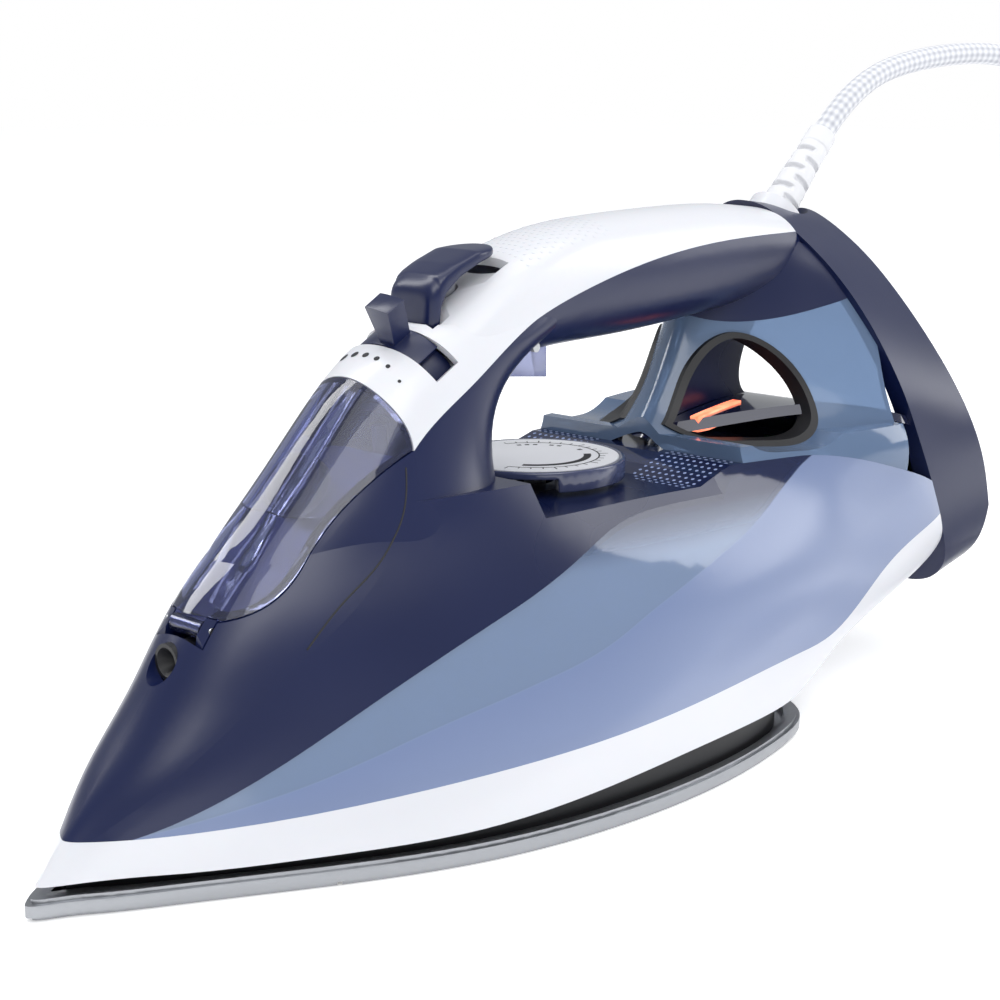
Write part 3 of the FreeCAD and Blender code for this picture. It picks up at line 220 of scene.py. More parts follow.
class IronDetailSettings(bpy.types.PropertyGroup):
    """Small sizes: rounded edges, slots, marks and seams."""
    sole_edge: bpy.props.FloatProperty(
        name="Sole Edge", description="Rounding of the rolled rim", default=0.0005,
        unit="LENGTH")
    dial_edge: bpy.props.FloatProperty(
        name="Dial Edge", description="Rounding of the dial's ring and tab", default=0.0006,
        unit="LENGTH")
    slider_edge: bpy.props.FloatProperty(
        name="Slider Edge", description="Rounding of the steam slider", default=0.0007,
        unit="LENGTH")
    trigger_edge: bpy.props.FloatProperty(
        name="Trigger Edge", description="Rounding of the trigger", default=0.0008,
        unit="LENGTH")
    slot_depth: bpy.props.FloatProperty(
        name="Sleeve Slots", description="Depth of the slots in the lead's sleeve",
        default=0.0014, unit="LENGTH")
    grip_dot: bpy.props.FloatProperty(
        name="Grip Dots", description="Radius of the dots on the handle", default=0.00042,
        unit="LENGTH")
    filter_dot: bpy.props.FloatProperty(
        name="Filter Dots", description="Radius of the dots over the filter tray",
        default=0.0005, unit="LENGTH")
    seam: bpy.props.FloatProperty(
        name="Seams", description="Radius of the nose's parting lines", default=0.00022,
        unit="LENGTH")


# ---------------------------------------------------------------- materials
def brushed_stainless():
    """Stainless sheet, brushed lengthwise: long fine streaks that stretch the highlights."""
    material, tree = new_material("brushed stainless steel")
    streaks = add(tree, "ShaderNodeTexNoise", Vector=object_pattern(tree, 45, 0.6, 0.6),
                  Scale=1.0, Detail=3.0)
    rough = add(tree, "ShaderNodeMapRange", Value=(streaks, "Fac"), To_Min=0.24, To_Max=0.42)
    bump = add(tree, "ShaderNodeBump", Strength=0.12, Distance=0.00004, Height=(streaks, "Fac"))
    shader = add(tree, "ShaderNodeBsdfPrincipled", Base_Color=linear("#9b9da1"), Metallic=1.0,
                 Roughness=(rough, "Result"), Normal=(bump, "Normal"))
    return close_material(material, shader)


def cast_metal(name, hex_code, roughness=0.55):
    """Die-cast or drawn metal of the hidden pieces: dull, with a sandy skin."""
    material, tree = new_material(name)
    grit = add(tree, "ShaderNodeTexNoise", Vector=object_pattern(tree, 1.2), Scale=1.0,
               Detail=4.0)
    bump = add(tree, "ShaderNodeBump", Strength=0.25, Distance=0.0001, Height=(grit, "Fac"))
    rough = add(tree, "ShaderNodeMapRange", Value=(grit, "Fac"), To_Min=roughness - 0.08,
                To_Max=roughness + 0.08)
    shader = add(tree, "ShaderNodeBsdfPrincipled", Base_Color=linear(hex_code), Metallic=1.0,
                 Roughness=(rough, "Result"), Normal=(bump, "Normal"))
    return close_material(material, shader)


def moulded_plastic(name, colours, roughness, peel_mm=1.6, peel=0.05, coat=0.0,
                    subsurface=0.0):
    """Injection-moulded plastic: an even colour that drifts slightly over the piece, and the
    faint orange-peel ripple of the mould in its highlights."""
    material, tree = new_material(name)
    drift = add(tree, "ShaderNodeTexNoise", Vector=object_pattern(tree, 60), Scale=1.0,
                Detail=1.0)
    colour = add(tree, "ShaderNodeMix", {"data_type": "RGBA"}, in_0=(drift, "Fac"),
                 in_6=colours[0], in_7=colours[1])
    ripple = add(tree, "ShaderNodeTexNoise", Vector=object_pattern(tree, peel_mm), Scale=1.0,
                 Detail=2.0)
    bump = add(tree, "ShaderNodeBump", Strength=peel, Distance=0.00005, Height=(ripple, "Fac"))
    rough = add(tree, "ShaderNodeMapRange", Value=(drift, "Fac"), To_Min=roughness - 0.03,
                To_Max=roughness + 0.04)
    shader = add(tree, "ShaderNodeBsdfPrincipled", Base_Color=(colour, 2), IOR=1.5,
                 Roughness=(rough, "Result"), Coat_Weight=coat, Coat_Roughness=0.08,
                 Subsurface_Weight=subsurface, Subsurface_Scale=0.002, Normal=(bump, "Normal"))
    return close_material(material, shader)


def clear_plastic(name, colours, transmission, roughness):
    """Tinted see-through SAN: glossy skin, light passes and the far walls show through."""
    material, tree = new_material(name)
    drift = add(tree, "ShaderNodeTexNoise", Vector=object_pattern(tree, 80, 80, 40),
                Scale=1.0, Detail=1.0)
    colour = add(tree, "ShaderNodeMix", {"data_type": "RGBA"}, in_0=(drift, "Fac"),
                 in_6=colours[0], in_7=colours[1])
    ripple = add(tree, "ShaderNodeTexNoise", Vector=object_pattern(tree, 9), Scale=1.0,
                 Detail=1.0)
    bump = add(tree, "ShaderNodeBump", Strength=0.05, Distance=0.0002, Height=(ripple, "Fac"))
    shader = add(tree, "ShaderNodeBsdfPrincipled", Base_Color=(colour, 2), IOR=1.49,
                 Roughness=roughness, Transmission_Weight=transmission, Normal=(bump, "Normal"))
    return close_material(material, shader)


# The tank's moulded crease: places along the iron and heights, in millimetres, and the reach
# and rise that its curve node is scaled to.
CREASE_REACH_MM = 140
CREASE_RISE_MM = 100
TANK_CREASE = [(-138, 16), (-103.6, 22.6), (-87.6, 26.9), (-71.5, 31.6), (-49.7, 36.9),
               (-26.1, 42.4), (-4.3, 50.4), (19.3, 57.6), (40.2, 63.5), (59.2, 71.4),
               (69.3, 76.6), (130, 100)]


# Below the crease the frosted wall's colour changes over this depth, from a painted highlight at
# its foot to painted shade at the crease; above it the clear wall turns navy between these
# heights.
FROSTED_DEPTH = 0.032
DECK_LOW, DECK_HIGH = 0.060, 0.0715


def tank_plastic(colours):
    """Blue-tinted SAN in one moulding with two skins: frosted below the crease, polished and
    clearer above it, and backed by navy under its top, where the filter tray lies. The frosted
    skin carries a painted highlight at its foot and painted shade towards the crease, standing in
    for the dark inside."""
    material, tree = new_material("blue-tinted SAN with a frosted skirt")
    where = add(tree, "ShaderNodeTexCoord")
    split = add(tree, "ShaderNodeSeparateXYZ", Vector=(where, "Object"))
    station = add(tree, "ShaderNodeMapRange", Value=(split, "X"),
                  From_Min=-CREASE_REACH_MM * MM, From_Max=CREASE_REACH_MM * MM)
    crease = add(tree, "ShaderNodeFloatCurve", Value=(station, "Result"))
    line = crease.mapping.curves[0]
    spots = [((x + CREASE_REACH_MM) / (2 * CREASE_REACH_MM), z / CREASE_RISE_MM)
             for x, z in TANK_CREASE]
    line.points[0].location, line.points[-1].location = spots[0], spots[-1]
    for spot in spots[1:-1]:
        line.points.new(*spot)
    crease.mapping.update()
    above = add(tree, "ShaderNodeMath", {"operation": "MULTIPLY_ADD"}, in_0=(crease, "Value"),
                in_1=-CREASE_RISE_MM * MM, in_2=(split, "Z"))
    clear = add(tree, "ShaderNodeMapRange", {"interpolation_type": "SMOOTHSTEP"},
                Value=(above, "Value"), From_Min=-0.0003, From_Max=0.0003)
    # painted highlight at the frosted wall's foot, fading to painted shade at the crease
    shade = add(tree, "ShaderNodeMapRange", Value=(above, "Value"),
                From_Min=-FROSTED_DEPTH, From_Max=0.0)
    frosted = add(tree, "ShaderNodeMix", {"data_type": "RGBA"}, in_0=(shade, "Result"),
                  in_6=colours.frosted_foot_highlight, in_7=colours.frosted_crease_shade)
    deck = add(tree, "ShaderNodeMapRange", {"interpolation_type": "SMOOTHSTEP"},
               Value=(split, "Z"), From_Min=DECK_LOW, From_Max=DECK_HIGH)
    polished = add(tree, "ShaderNodeMix", {"data_type": "RGBA"}, in_0=(deck, "Result"),
                   in_6=colours.clear_wall, in_7=colours.clear_top)
    colour = add(tree, "ShaderNodeMix", {"data_type": "RGBA"}, in_0=(clear, "Result"),
                 in_6=(frosted, 2), in_7=(polished, 2))
    passes = add(tree, "ShaderNodeMapRange", Value=(clear, "Result"), To_Min=0.30, To_Max=0.62)
    rough = add(tree, "ShaderNodeMapRange", Value=(clear, "Result"), To_Min=0.24, To_Max=0.07)
    ripple = add(tree, "ShaderNodeTexNoise", Vector=object_pattern(tree, 12), Scale=1.0,
                 Detail=1.0)
    bump = add(tree, "ShaderNodeBump", Strength=0.05, Distance=0.0002, Height=(ripple, "Fac"))
    shader = add(tree, "ShaderNodeBsdfPrincipled", Base_Color=(colour, 2), IOR=1.49,
                 Roughness=(rough, "Result"), Transmission_Weight=(passes, "Result"),
                 Normal=(bump, "Normal"))
    return close_material(material, shader)


# Coarser than the real 1 mm yarn, so that the braid shows.
YARN_PITCH = 0.0026
YARNS_AROUND = 5.0


def braided_cover(length):
    """Textile-covered lead: a fine diagonal braid of off-white and grey yarn, on the lead's
    own length and turn. With u along and v round it, the yarn is
    sin(2 pi (u length / pitch + v count)) * sin(2 pi (u length / pitch - v count))."""
    material, tree = new_material("braided polyester cover")
    where = add(tree, "ShaderNodeTexCoord")
    split = add(tree, "ShaderNodeSeparateXYZ", Vector=(where, "UV"))
    yarn = []
    for sign in (1.0, -1.0):
        along = add(tree, "ShaderNodeMath", {"operation": "MULTIPLY"}, in_0=(split, "X"),
                    in_1=length / YARN_PITCH)
        slant = add(tree, "ShaderNodeMath", {"operation": "MULTIPLY_ADD"}, in_0=(split, "Y"),
                    in_1=sign * YARNS_AROUND, in_2=(along, "Value"))
        wave = add(tree, "ShaderNodeMath", {"operation": "MULTIPLY"}, in_0=(slant, "Value"),
                   in_1=2 * math.pi)
        yarn.append(add(tree, "ShaderNodeMath", {"operation": "SINE"}, in_0=(wave, "Value")))
    cross = add(tree, "ShaderNodeMath", {"operation": "MULTIPLY"}, in_0=(yarn[0], "Value"),
                in_1=(yarn[1], "Value"))
    level = add(tree, "ShaderNodeMapRange", Value=(cross, "Value"), From_Min=-1.0, From_Max=1.0)
    colour = add(tree, "ShaderNodeMix", {"data_type": "RGBA"}, in_0=(level, "Result"),
                 in_6=linear("#a9abb4"), in_7=linear("#dcdde0"))
    bump = add(tree, "ShaderNodeBump", Strength=0.5, Distance=0.0003, Height=(level, "Result"))
    shader = add(tree, "ShaderNodeBsdfPrincipled", Base_Color=(colour, 2), Roughness=0.85,
                 Sheen_Weight=0.3, Normal=(bump, "Normal"))
    return close_material(material, shader)


def lamp_lens(colours):
    """Light pipe of polycarbonate, lit from below by a small amber lamp."""
    material, tree = new_material("lit polycarbonate light pipe")
    glow = add(tree, "ShaderNodeTexNoise", Vector=object_pattern(tree, 6, 3, 3), Scale=1.0)
    colour = add(tree, "ShaderNodeMix", {"data_type": "RGBA"}, in_0=(glow, "Fac"),
                 in_6=colours[0], in_7=colours[1])
    shader = add(tree, "ShaderNodeBsdfPrincipled", Base_Color=(colour, 2), Roughness=0.25,
                 Emission_Color=(colour, 2), Emission_Strength=1.6)
    return close_material(material, shader)


FINISHES = {}


class IRON_OT_materials(bpy.types.Operator):
    """Materials of all pieces, kept by a short name for each"""
    bl_idname = "iron.materials"
    bl_label = "Materials"

    def execute(self, context):
        paint = context.scene.iron_colours
        FINISHES.update(
            steel=brushed_stainless(),
            cast=cast_metal("die-cast aluminium", "#a9abae"),
            plate=cast_metal("zinc-plated steel", "#b4b6b8", 0.38),
            brass=cast_metal("nickel-plated brass", "#c8bf9c", 0.28),
            white=moulded_plastic("glossy white ABS", (paint.white_dark, paint.white_light),
                                  0.32, coat=0.2, subsurface=0.05),
            navy=moulded_plastic("gloss navy ABS", (paint.navy_dark, paint.navy_light), 0.28),
            visor=clear_plastic("smoked navy polycarbonate", shades("#8c93c0", "#989fca"),
                                0.95, 0.03),
            black=moulded_plastic("black glass-filled polyamide", shades("#0d0d10", "#16161b"),
                                  0.5, peel_mm=0.9, peel=0.2),
            grey=moulded_plastic("grey ABS", shades("#84868e", "#8f9199"), 0.45),
            face=moulded_plastic("satin silver-grey ABS", shades("#dcdde2", "#e4e5e9"), 0.32),
            smoke=moulded_plastic("smoke-grey polycarbonate", shades("#343a58", "#474e70"),
                                  0.2, coat=0.6),
            tank=tank_plastic(paint),
            violet=clear_plastic("pale violet SAN", shades("#a9b0dc", "#bcc2e8"), 0.6, 0.12),
            neck=clear_plastic("deep blue-tinted SAN", shades("#6f87ab", "#7f97b9"), 0.5, 0.10),
            floor=moulded_plastic("piano-gloss navy ABS", shades("#10142f", "#171c3b"), 0.1,
                                  coat=1.0),
            board=moulded_plastic("epoxy circuit board", shades("#1d5a34", "#256a3f"), 0.5),
            rubber=moulded_plastic("white thermoplastic elastomer",
                                   shades("#d0d1d5", "#d8d8db"), 0.55, peel_mm=0.7, peel=0.15),
            seal=moulded_plastic("black silicone rubber", shades("#101013", "#17171b"), 0.6),
            pale=moulded_plastic("pale grey pad-print ink", shades("#c9cbd2", "#d3d5db"), 0.5),
            mist=moulded_plastic("pale blue pad-print ink", shades("#8f9fca", "#9babd4"), 0.5),
            slate=moulded_plastic("satin slate-blue ABS", shades("#444b7a", "#525a8a"), 0.3),
            print=moulded_plastic("black pad-print ink", shades("#15161b", "#1b1c22"), 0.6),
            braid=braided_cover(context.scene.iron_lead.length),
            lamp=lamp_lens((paint.lamp_dark, paint.lamp_light)),
        )
        return {"FINISHED"}


# ---------------------------------------------------------------- stage
CAMERA_PLACE = Vector((-0.359452, -0.340840, 0.179420))
CAMERA_AIM = Vector((-0.010181, 0.0, 0.070620))
LIGHT_AIM = Vector((0.0, 0.0, 0.06))
# Soft boxes: name, place, width, height and share of the key light's power.
SOFT_BOXES = [("key_box", (-0.5, -0.9, 1.1), 0.9, 0.7, 1.0),
              ("top_box", (0.1, 0.2, 1.3), 1.4, 0.5, 0.8),
              ("side_box", (0.9, -0.6, 0.6), 0.4, 0.9, 0.9),
              ("ridge_box", (-0.30, 0.62, 0.85), 0.22, 0.9, 0.9)]


def placed(scene, data, place, aim=None):
    """A camera or light at a place, looking at its aim when it has one."""
    thing = bpy.data.objects.new(data.name, data)
    thing.location = place
    if aim is not None:
        thing.rotation_euler = (aim - Vector(place)).to_track_quat("-Z", "Y").to_euler()
    scene.collection.objects.link(thing)
    return thing


class IRON_OT_stage(bpy.types.Operator):
    """Camera, floor, world and soft lights"""
    bl_idname = "iron.stage"
    bl_label = "Stage"

    def execute(self, context):
        scene = context.scene
        settings = scene.iron_stage
        camera = bpy.data.cameras.new("camera")
        camera.lens = settings.lens
        camera.sensor_width = 36.0
        camera.clip_end = 50.0
        scene.camera = placed(scene, camera, CAMERA_PLACE, CAMERA_AIM)

        # The floor lies a hair under the sole.
        half, low = settings.floor_size / 2, -0.0002
        corners = [(-half, -half, low), (half, -half, low), (half, half, low), (-half, half, low)]
        matt, tree = new_material("matt pale studio board")
        shader = add(tree, "ShaderNodeBsdfPrincipled", Base_Color=linear("#fbfbfb"),
                     Roughness=0.8, Emission_Color=(1, 1, 1, 1), Emission_Strength=0.32)
        close_material(matt, shader)
        mesh_piece("studio_floor", corners, [(0, 1, 2, 3)], matt, body=None,
                            smooth=False)

        # The room behind is white to the eye and lights the object more softly than it looks.
        world = bpy.data.worlds.new("soft studio")
        world.use_nodes = True
        tree = world.node_tree
        tree.nodes.clear()
        seen = add(tree, "ShaderNodeBackground", Color=(1, 1, 1, 1), Strength=1.0)
        lit = add(tree, "ShaderNodeBackground", Color=(0.93, 0.96, 1, 1),
                  Strength=settings.room_light)
        ray = add(tree, "ShaderNodeLightPath")
        either = add(tree, "ShaderNodeMixShader", Fac=(ray, "Is Camera Ray"),
                     in_1=(lit, "Background"), in_2=(seen, "Background"))
        add(tree, "ShaderNodeOutputWorld", Surface=(either, "Shader"))
        scene.world = world
        scene.view_settings.view_transform = "Standard"
        sun = bpy.data.lights.new("even_light", "SUN")
        sun.energy, sun.angle = settings.even_light, math.radians(60)
        even = placed(scene, sun, (0, 0, 0))
        even.rotation_euler = (math.radians(28), math.radians(-16), 0)
        for name, place, width, height, share in SOFT_BOXES:
            light = bpy.data.lights.new(name, "AREA")
            light.shape = "RECTANGLE"
            light.size, light.size_y = width, height
            light.energy = settings.key_power * share
            placed(scene, light, place, LIGHT_AIM).visible_camera = False
        return {"FINISHED"}


# ---------------------------------------------------------------- lead
# The lead over the heel and down behind it, in millimetres; it starts at its tip, straight
# along its axis.
LEAD_BENDS = [(188, -2, 188), (230, -9, 189), (272, -20, 172), (300, -30, 142),
              (312, -38, 104), (314, -43, 64)]
LEAD_TIP = np.array([0.132, 0.0, 0.1635])
LEAD_AXIS = np.array([27.0, 0.0, 26.5]) / math.hypot(27.0, 26.5)
LEAD_STRAIGHT = 0.0226
# The turns wind round a point a little off the coil's centre, at this middle radius.
COIL_CENTRE = np.array([0.212, -0.084, 0.0])
COIL_SHIFT = np.array([0.0028, -0.0020, 0.0])
COIL_MIDDLE = 0.040
POINTS_PER_TURN = 14
# The lead comes down towards the coil on this heading from its centre, at these distances
# and heights in millimetres, and then runs straight to the outermost turn's tangent point.
ENTRY_TURN = math.radians(22.0)
ENTRY_POINTS = [(104.6, 26.7), (81.4, 3.5)]
COIL_START = ENTRY_TURN + math.acos(47.0 / 81.4)
# The turns in the order they are wound: leads out from the middle, and layer.
COIL_TURNS = np.array([(1, 0), (0, 0), (-1, 0), (-1, 1), (0, 1), (1, 1), (1, 2), (-0.786, 2),
                       (-0.786, 2)], float)
# The tail leaves towards the plug: distances along and beside its heading, and height.
TAIL_WAY = np.array([-0.93, -0.37, 0.0]) / math.hypot(0.93, 0.37)
TAIL_POINTS = [(36.8, 7.25, 17.7), (50.45, 0.0, 18.0), (64.5, 0.0, 18.0)]


def lead_route(turns, diameter):
    """Control points of the whole lead: over the heel, down, round the coil, to the plug.

    On the coil, angle = start + 2 pi turn, radius = middle + diameter * step(turn) and
    height = diameter * (1 / 2 + 0.99 * layer(turn)), where step and layer hold through two
    thirds of a turn and then go smoothly, as 3 t^2 - 2 t^3, to the next turn's values.
    """
    entry = np.array([math.cos(ENTRY_TURN), math.sin(ENTRY_TURN), 0.0])
    beside = np.array([TAIL_WAY[1], -TAIL_WAY[0], 0.0])
    up = np.array([0.0, 0.0, 1.0])
    turn = np.linspace(0.0, turns, int(POINTS_PER_TURN * turns) + 1)
    low = turn.astype(int)
    hold, change = 0.67, 0.33
    part = np.clip((turn - low - hold) / change, 0, 1)[:, None]
    part = part * part * (3 - 2 * part)
    step, layer = (COIL_TURNS[low] * (1 - part) + COIL_TURNS[low + 1] * part).T
    angle = COIL_START + 2 * math.pi * turn
    radius = COIL_MIDDLE + diameter * step
    height = diameter * (0.5 + 0.99 * layer)
    coil = np.stack([radius * np.cos(angle), radius * np.sin(angle), height], axis=1)
    points = [LEAD_TIP, LEAD_TIP + LEAD_AXIS * LEAD_STRAIGHT]
    points += [np.array(place) * MM for place in LEAD_BENDS]
    points += [COIL_CENTRE + (entry * out + up * z) * MM for out, z in ENTRY_POINTS]
    points += list(coil + COIL_CENTRE + COIL_SHIFT)
    points += [COIL_CENTRE + (TAIL_WAY * out + beside * off + up * z) * MM
               for out, off, z in TAIL_POINTS]
    return points


class IRON_OT_lead(bpy.types.Operator):
    """Mains lead as one smooth line: over the heel, down, round its coil and to the plug"""
    bl_idname = "iron.lead"
    bl_label = "Mains Lead"

    def execute(self, context):
        settings = context.scene.iron_lead
        diameter = settings.diameter
        route = lead_route(settings.turns, diameter)
        curve = bpy.data.curves.new("mains_lead", "CURVE")
        curve.dimensions = "3D"
        curve.bevel_depth = diameter / 2
        curve.bevel_resolution = 5
        curve.resolution_u = 6
        spline = curve.splines.new("NURBS")
        spline.points.add(len(route) - 1)
        for point, place in zip(spline.points, route):
            point.co = (*place, 1.0)
        spline.order_u = 3
        spline.use_endpoint_u = True
        curve.materials.append(FINISHES["braid"])
        lead = bpy.data.objects.new("mains_lead", curve)
        context.scene.collection.objects.link(lead)
        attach(lead, "iron")
        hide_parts("cord_lead", "cord_coil", "cord_tail")
        return {"FINISHED"}


class IRON_OT_strain_relief(bpy.types.Operator):
    """Tapered sleeve of the lead, with its staggered slots"""
    bl_idname = "iron.strain_relief"
    bl_label = "Strain Relief"

    def execute(self, context):
        # radius(t, a) = taper(t) - depth * slot(t) * half(a, row): rows of slots along the
        # sleeve, each covering two quarters of the turn and staggered row by row; slot and half
        # are logistic steps, 1 / (1 + exp(x)), across a slot's edges and ends.
        foot = np.array([0.105, 0.0, 0.137])
        run = LEAD_TIP - foot
        length = np.linalg.norm(run)
        axis = run / length
        side = np.array([0.0, 1.0, 0.0])
        up = np.cross(axis, side)
        rows, columns = 240, 96
        t = np.linspace(-0.003, length, rows)[:, None]
        a = np.linspace(0, 2 * np.pi, columns, endpoint=False)[None, :]
        taper = np.interp(t, [-0.003, 0.006, 0.0075, length - 0.006, length - 0.0055, length],
                          [0.0060, 0.0060, 0.0056, 0.0044, 0.0046, 0.0045])
        pitch, first, slots, half_slot, edge = 0.0039, 0.0088, 6, 0.00085, 0.00009
        row = np.floor((t - first) / pitch + 0.5)
        near = (t - first) - row * pitch
        across = 1 / (1 + np.exp((np.abs(near) - half_slot) / edge))
        live = (row >= 0) & (row < slots)
        turn = np.cos(2 * a + np.pi * row)
        half = 1 / (1 + np.exp(-(turn + 0.15) / 0.08))
        radius = taper - context.scene.iron_detail.slot_depth * across * half * live
        radius[0], radius[-1] = 0.0036, 0.0036
        points = (foot + t[..., None] * axis
                  + radius[..., None] * (np.cos(a)[..., None] * side + np.sin(a)[..., None] * up))
        relief = mesh_piece("relief_sleeve", points.reshape(-1, 3),
                            grid_faces(rows, columns, cap_ends=True), FINISHES["rubber"])
        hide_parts("strain_relief")
        return {"FINISHED"}


# ---------------------------------------------------------------- dial
# Patches of the scale: inner and outer radius in millimetres, start and end in degrees, and
# number of points: a thin arc, a thick one, 24 ticks, and groups of one, two and three dots.
SCALE_PATCHES = [(17.2, 17.6, -160, 70, 60), (13.2, 15.2, -150, -40, 30)]
SCALE_PATCHES += [(17.6, 19.0 if tick % 4 else 20.0, 10 * tick - 160.5, 10 * tick - 159.5, 2)
                  for tick in range(24)]
SCALE_PATCHES += [(13.8, 15.0, turn - 2.4, turn + 2.4, 4)
                  for turn in (-15, 15.5, 24.5, 43, 52, 61)]


class IRON_OT_dial_scale(bpy.types.Operator):
    """Printed scale of the dial: arcs, ticks and groups of dots"""
    bl_idname = "iron.dial_scale"
    bl_label = "Dial Scale"

    def execute(self, context):
        # A patch's point is centre + r (cos a, sin a), r outer and then inner, a from its start
        # to its end, and all lie a hair above the disc.
        low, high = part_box("dial_disc")
        centre = (low + high) / 2
        points, faces = [], []
        for inner, outer, start, end, steps in SCALE_PATCHES:
            a = np.radians(np.linspace(start, end, steps))
            radius = np.array([outer, inner])[:, None] * MM
            patch = np.stack([centre.x + radius * np.cos(a), centre.y + radius * np.sin(a),
                              np.full((2, steps), high.z + 0.00004)], axis=-1).reshape(-1, 3)
            faces += (np.array(grid_faces(2, steps, close_columns=False))
                      + sum(map(len, points))).tolist()
            points.append(patch)
        scale = mesh_piece("dial_scale", np.concatenate(points), faces, FINISHES["print"], "dial",
                           smooth=False)
        solid = scale.modifiers.new("thickness", "SOLIDIFY")
        solid.thickness = 0.00003
        return {"FINISHED"}


# ---------------------------------------------------------------- filler under the cover
class IRON_OT_filler_knob(bpy.types.Operator):
    """Round valve cap in the filler tray, with a rounded rim and a sunk face"""
    bl_idname = "iron.filler_knob"
    bl_label = "Filler Knob"

    def execute(self, context):
        # point(i, j) = foot + height_i * up + radius_i * (along * cos a_j + across * sin a_j),
        # turned round the knob's leaning axis.
        lean = math.radians(48.0)
        up = np.array([-math.sin(lean), 0.0, math.cos(lean)])
        along = np.array(Vector(up).orthogonal().normalized())
        across = np.cross(up, along)
        foot = np.array([84.5 * MM + TIP_X, 0.0, 80.5 * MM])
        # (radius, height) in millimetres: stem, flange, side wall, rounded rim and sunk face
        profile = np.array([(0.5, -3), (4.9, -3), (4.9, 4.0), (8.0, 4.0), (8.2, 4.3), (8.2, 7.6),
                            (8.0, 8.2), (7.5, 8.5), (6.9, 8.4), (6.6, 8.0), (6.5, 7.4),
                            (2.0, 7.2), (0.3, 7.2)]) * MM
        segments = 64
        a = np.linspace(0, 2 * np.pi, segments, endpoint=False)[:, None]
        ring = np.cos(a) * along + np.sin(a) * across
        points = (foot + profile[:, 1, None, None] * up
                  + profile[:, 0, None, None] * ring[None])
        faces = grid_faces(len(profile), segments, cap_ends=True)
        knob = mesh_piece("filler_knob", points.reshape(-1, 3), faces, FINISHES["navy"])
        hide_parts("filler_valve")
        return {"FINISHED"}


# ---------------------------------------------------------------- rounded edges
# Points nearer than this merge, facets flatter than this join, and edges sharper than this
# are rounded.
MERGE_DISTANCE = 2e-6
FLAT_ANGLE = math.radians(0.6)
SHARP_ANGLE = math.radians(38)


def softened(name, node, width, material, body):
    """A copy of a node with its doubles merged, its flats joined and its edges rounded."""
    mesh = NODES[node].data.copy()
    mesh.name = name
    shell = bmesh.new()
    shell.from_mesh(mesh)
    bmesh.ops.remove_doubles(shell, verts=shell.verts, dist=MERGE_DISTANCE)
    bmesh.ops.dissolve_limit(shell, angle_limit=FLAT_ANGLE, verts=shell.verts,
                             edges=shell.edges)
    shell.to_mesh(mesh)
    shell.free()
    mesh.materials.clear()
    mesh.materials.append(material)
    mesh.shade_smooth()
    piece = bpy.data.objects.new(name, mesh)
    bpy.context.scene.collection.objects.link(piece)
    bevel = piece.modifiers.new("rounded edges", "BEVEL")
    bevel.width = width
    bevel.segments = 3
    bevel.limit_method = "ANGLE"
    bevel.angle_limit = SHARP_ANGLE
    bevel.harden_normals = True
    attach(piece, body)
    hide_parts(node)
    return piece


class IRON_OT_rounded_pieces(bpy.types.Operator):
    """Pieces whose moulded or rolled edges are rounded"""
    bl_idname = "iron.rounded_pieces"
    bl_label = "Rounded Pieces"

    def execute(self, context):
        size = context.scene.iron_detail
        jobs = [("sole_sheet", "soleplate", size.sole_edge, "steel", "iron", "steel"),
                ("dial_grip", "dial_ring", size.dial_edge, "smoke", "dial", "smoke_grey"),
                ("slider_saddle", "steam_slider", size.slider_edge, "navy", "slider",
                 "dark_blue_abs"),
                ("trigger_lever", "steam_trigger", size.trigger_edge, "violet", "trigger",
                 "blue_translucent")]
        for name, node, width, finish, body, slot in jobs:
            softened(name, node, width, FINISHES[finish], body)
        return {"FINISHED"}


# ---------------------------------------------------------------- spray button and slider bed
class IRON_OT_spray_button(bpy.types.Operator):
    """Spray button: a thumb rest with a deep front and a round rear end"""
    bl_idname = "iron.spray_button"
    bl_label = "Spray Button"

    def execute(self, context):
        # With t from 0 at the front to 1 at the rear and a round the section:
        # y = width(t) * |cos a|^(2/n) signed, z = middle(t) + height(t) * |sin a|^(2/n) signed.
        # width and height shrink to nothing at both ends as (1 - |2t - 1|^8)^(1/8), and the
        # plan is rounded off behind as (1 - s^2.6)^(1/2.2), s growing over the last 40 percent.
        # Stations, top, underside and half width are in millimetres.
        rows, columns, corner = 80, 72, 4.0
        front, reach, half_width = 116.5, 26.0, 8.5
        t = (1 - np.cos(np.linspace(0.04, np.pi - 0.04, rows))) / 2
        station = front + reach * t
        top = np.interp(station, [116.5, 120, 125, 133, 142.5],
                        [130.8, 133.2, 135.4, 138.2, 139.1])
        under = np.interp(station, [116.5, 119.2, 119.6, 121.5, 126.5, 134, 142.5],
                          [117.0, 117.0, 122.4, 127.2, 131.4, 134.8, 136.9])
        closing = (1 - np.abs(2 * t - 1) ** 8) ** (1 / 8)
        behind = np.clip((t - 0.6) / 0.4, 0, 1)
        width = half_width * closing * (1 - behind ** 2.6 * 0.995) ** (1 / 2.2)
        a = np.linspace(0, 2 * np.pi, columns, endpoint=False)
        swing = np.sign(np.cos(a)) * np.abs(np.cos(a)) ** (2 / corner)
        rise = np.sign(np.sin(a)) * np.abs(np.sin(a)) ** (2 / corner)
        height = (top - under) / 2 * closing
        points = np.stack([np.repeat(station[:, None], columns, 1) * MM + TIP_X,
                           width[:, None] * swing[None] * MM,
                           ((top + under)[:, None] / 2 + height[:, None] * rise[None]) * MM], -1)
        faces = grid_faces(rows, columns, cap_ends=True)
        button = mesh_piece("button_cap", points.reshape(-1, 3), faces, FINISHES["navy"], "button")
        outward(button)
        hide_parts("spray_button")
        return {"FINISHED"}


# The slider's axis: a point on it, the way out of the crown, and its own direction.
SLIDER_CENTRE = np.array([-0.0415, 0.0, 0.1034776])
SLIDER_UP = np.array([-0.5, 0.0, math.sqrt(0.75)])
SLIDER_ALONG = np.array([math.sqrt(0.75), 0.0, 0.5])


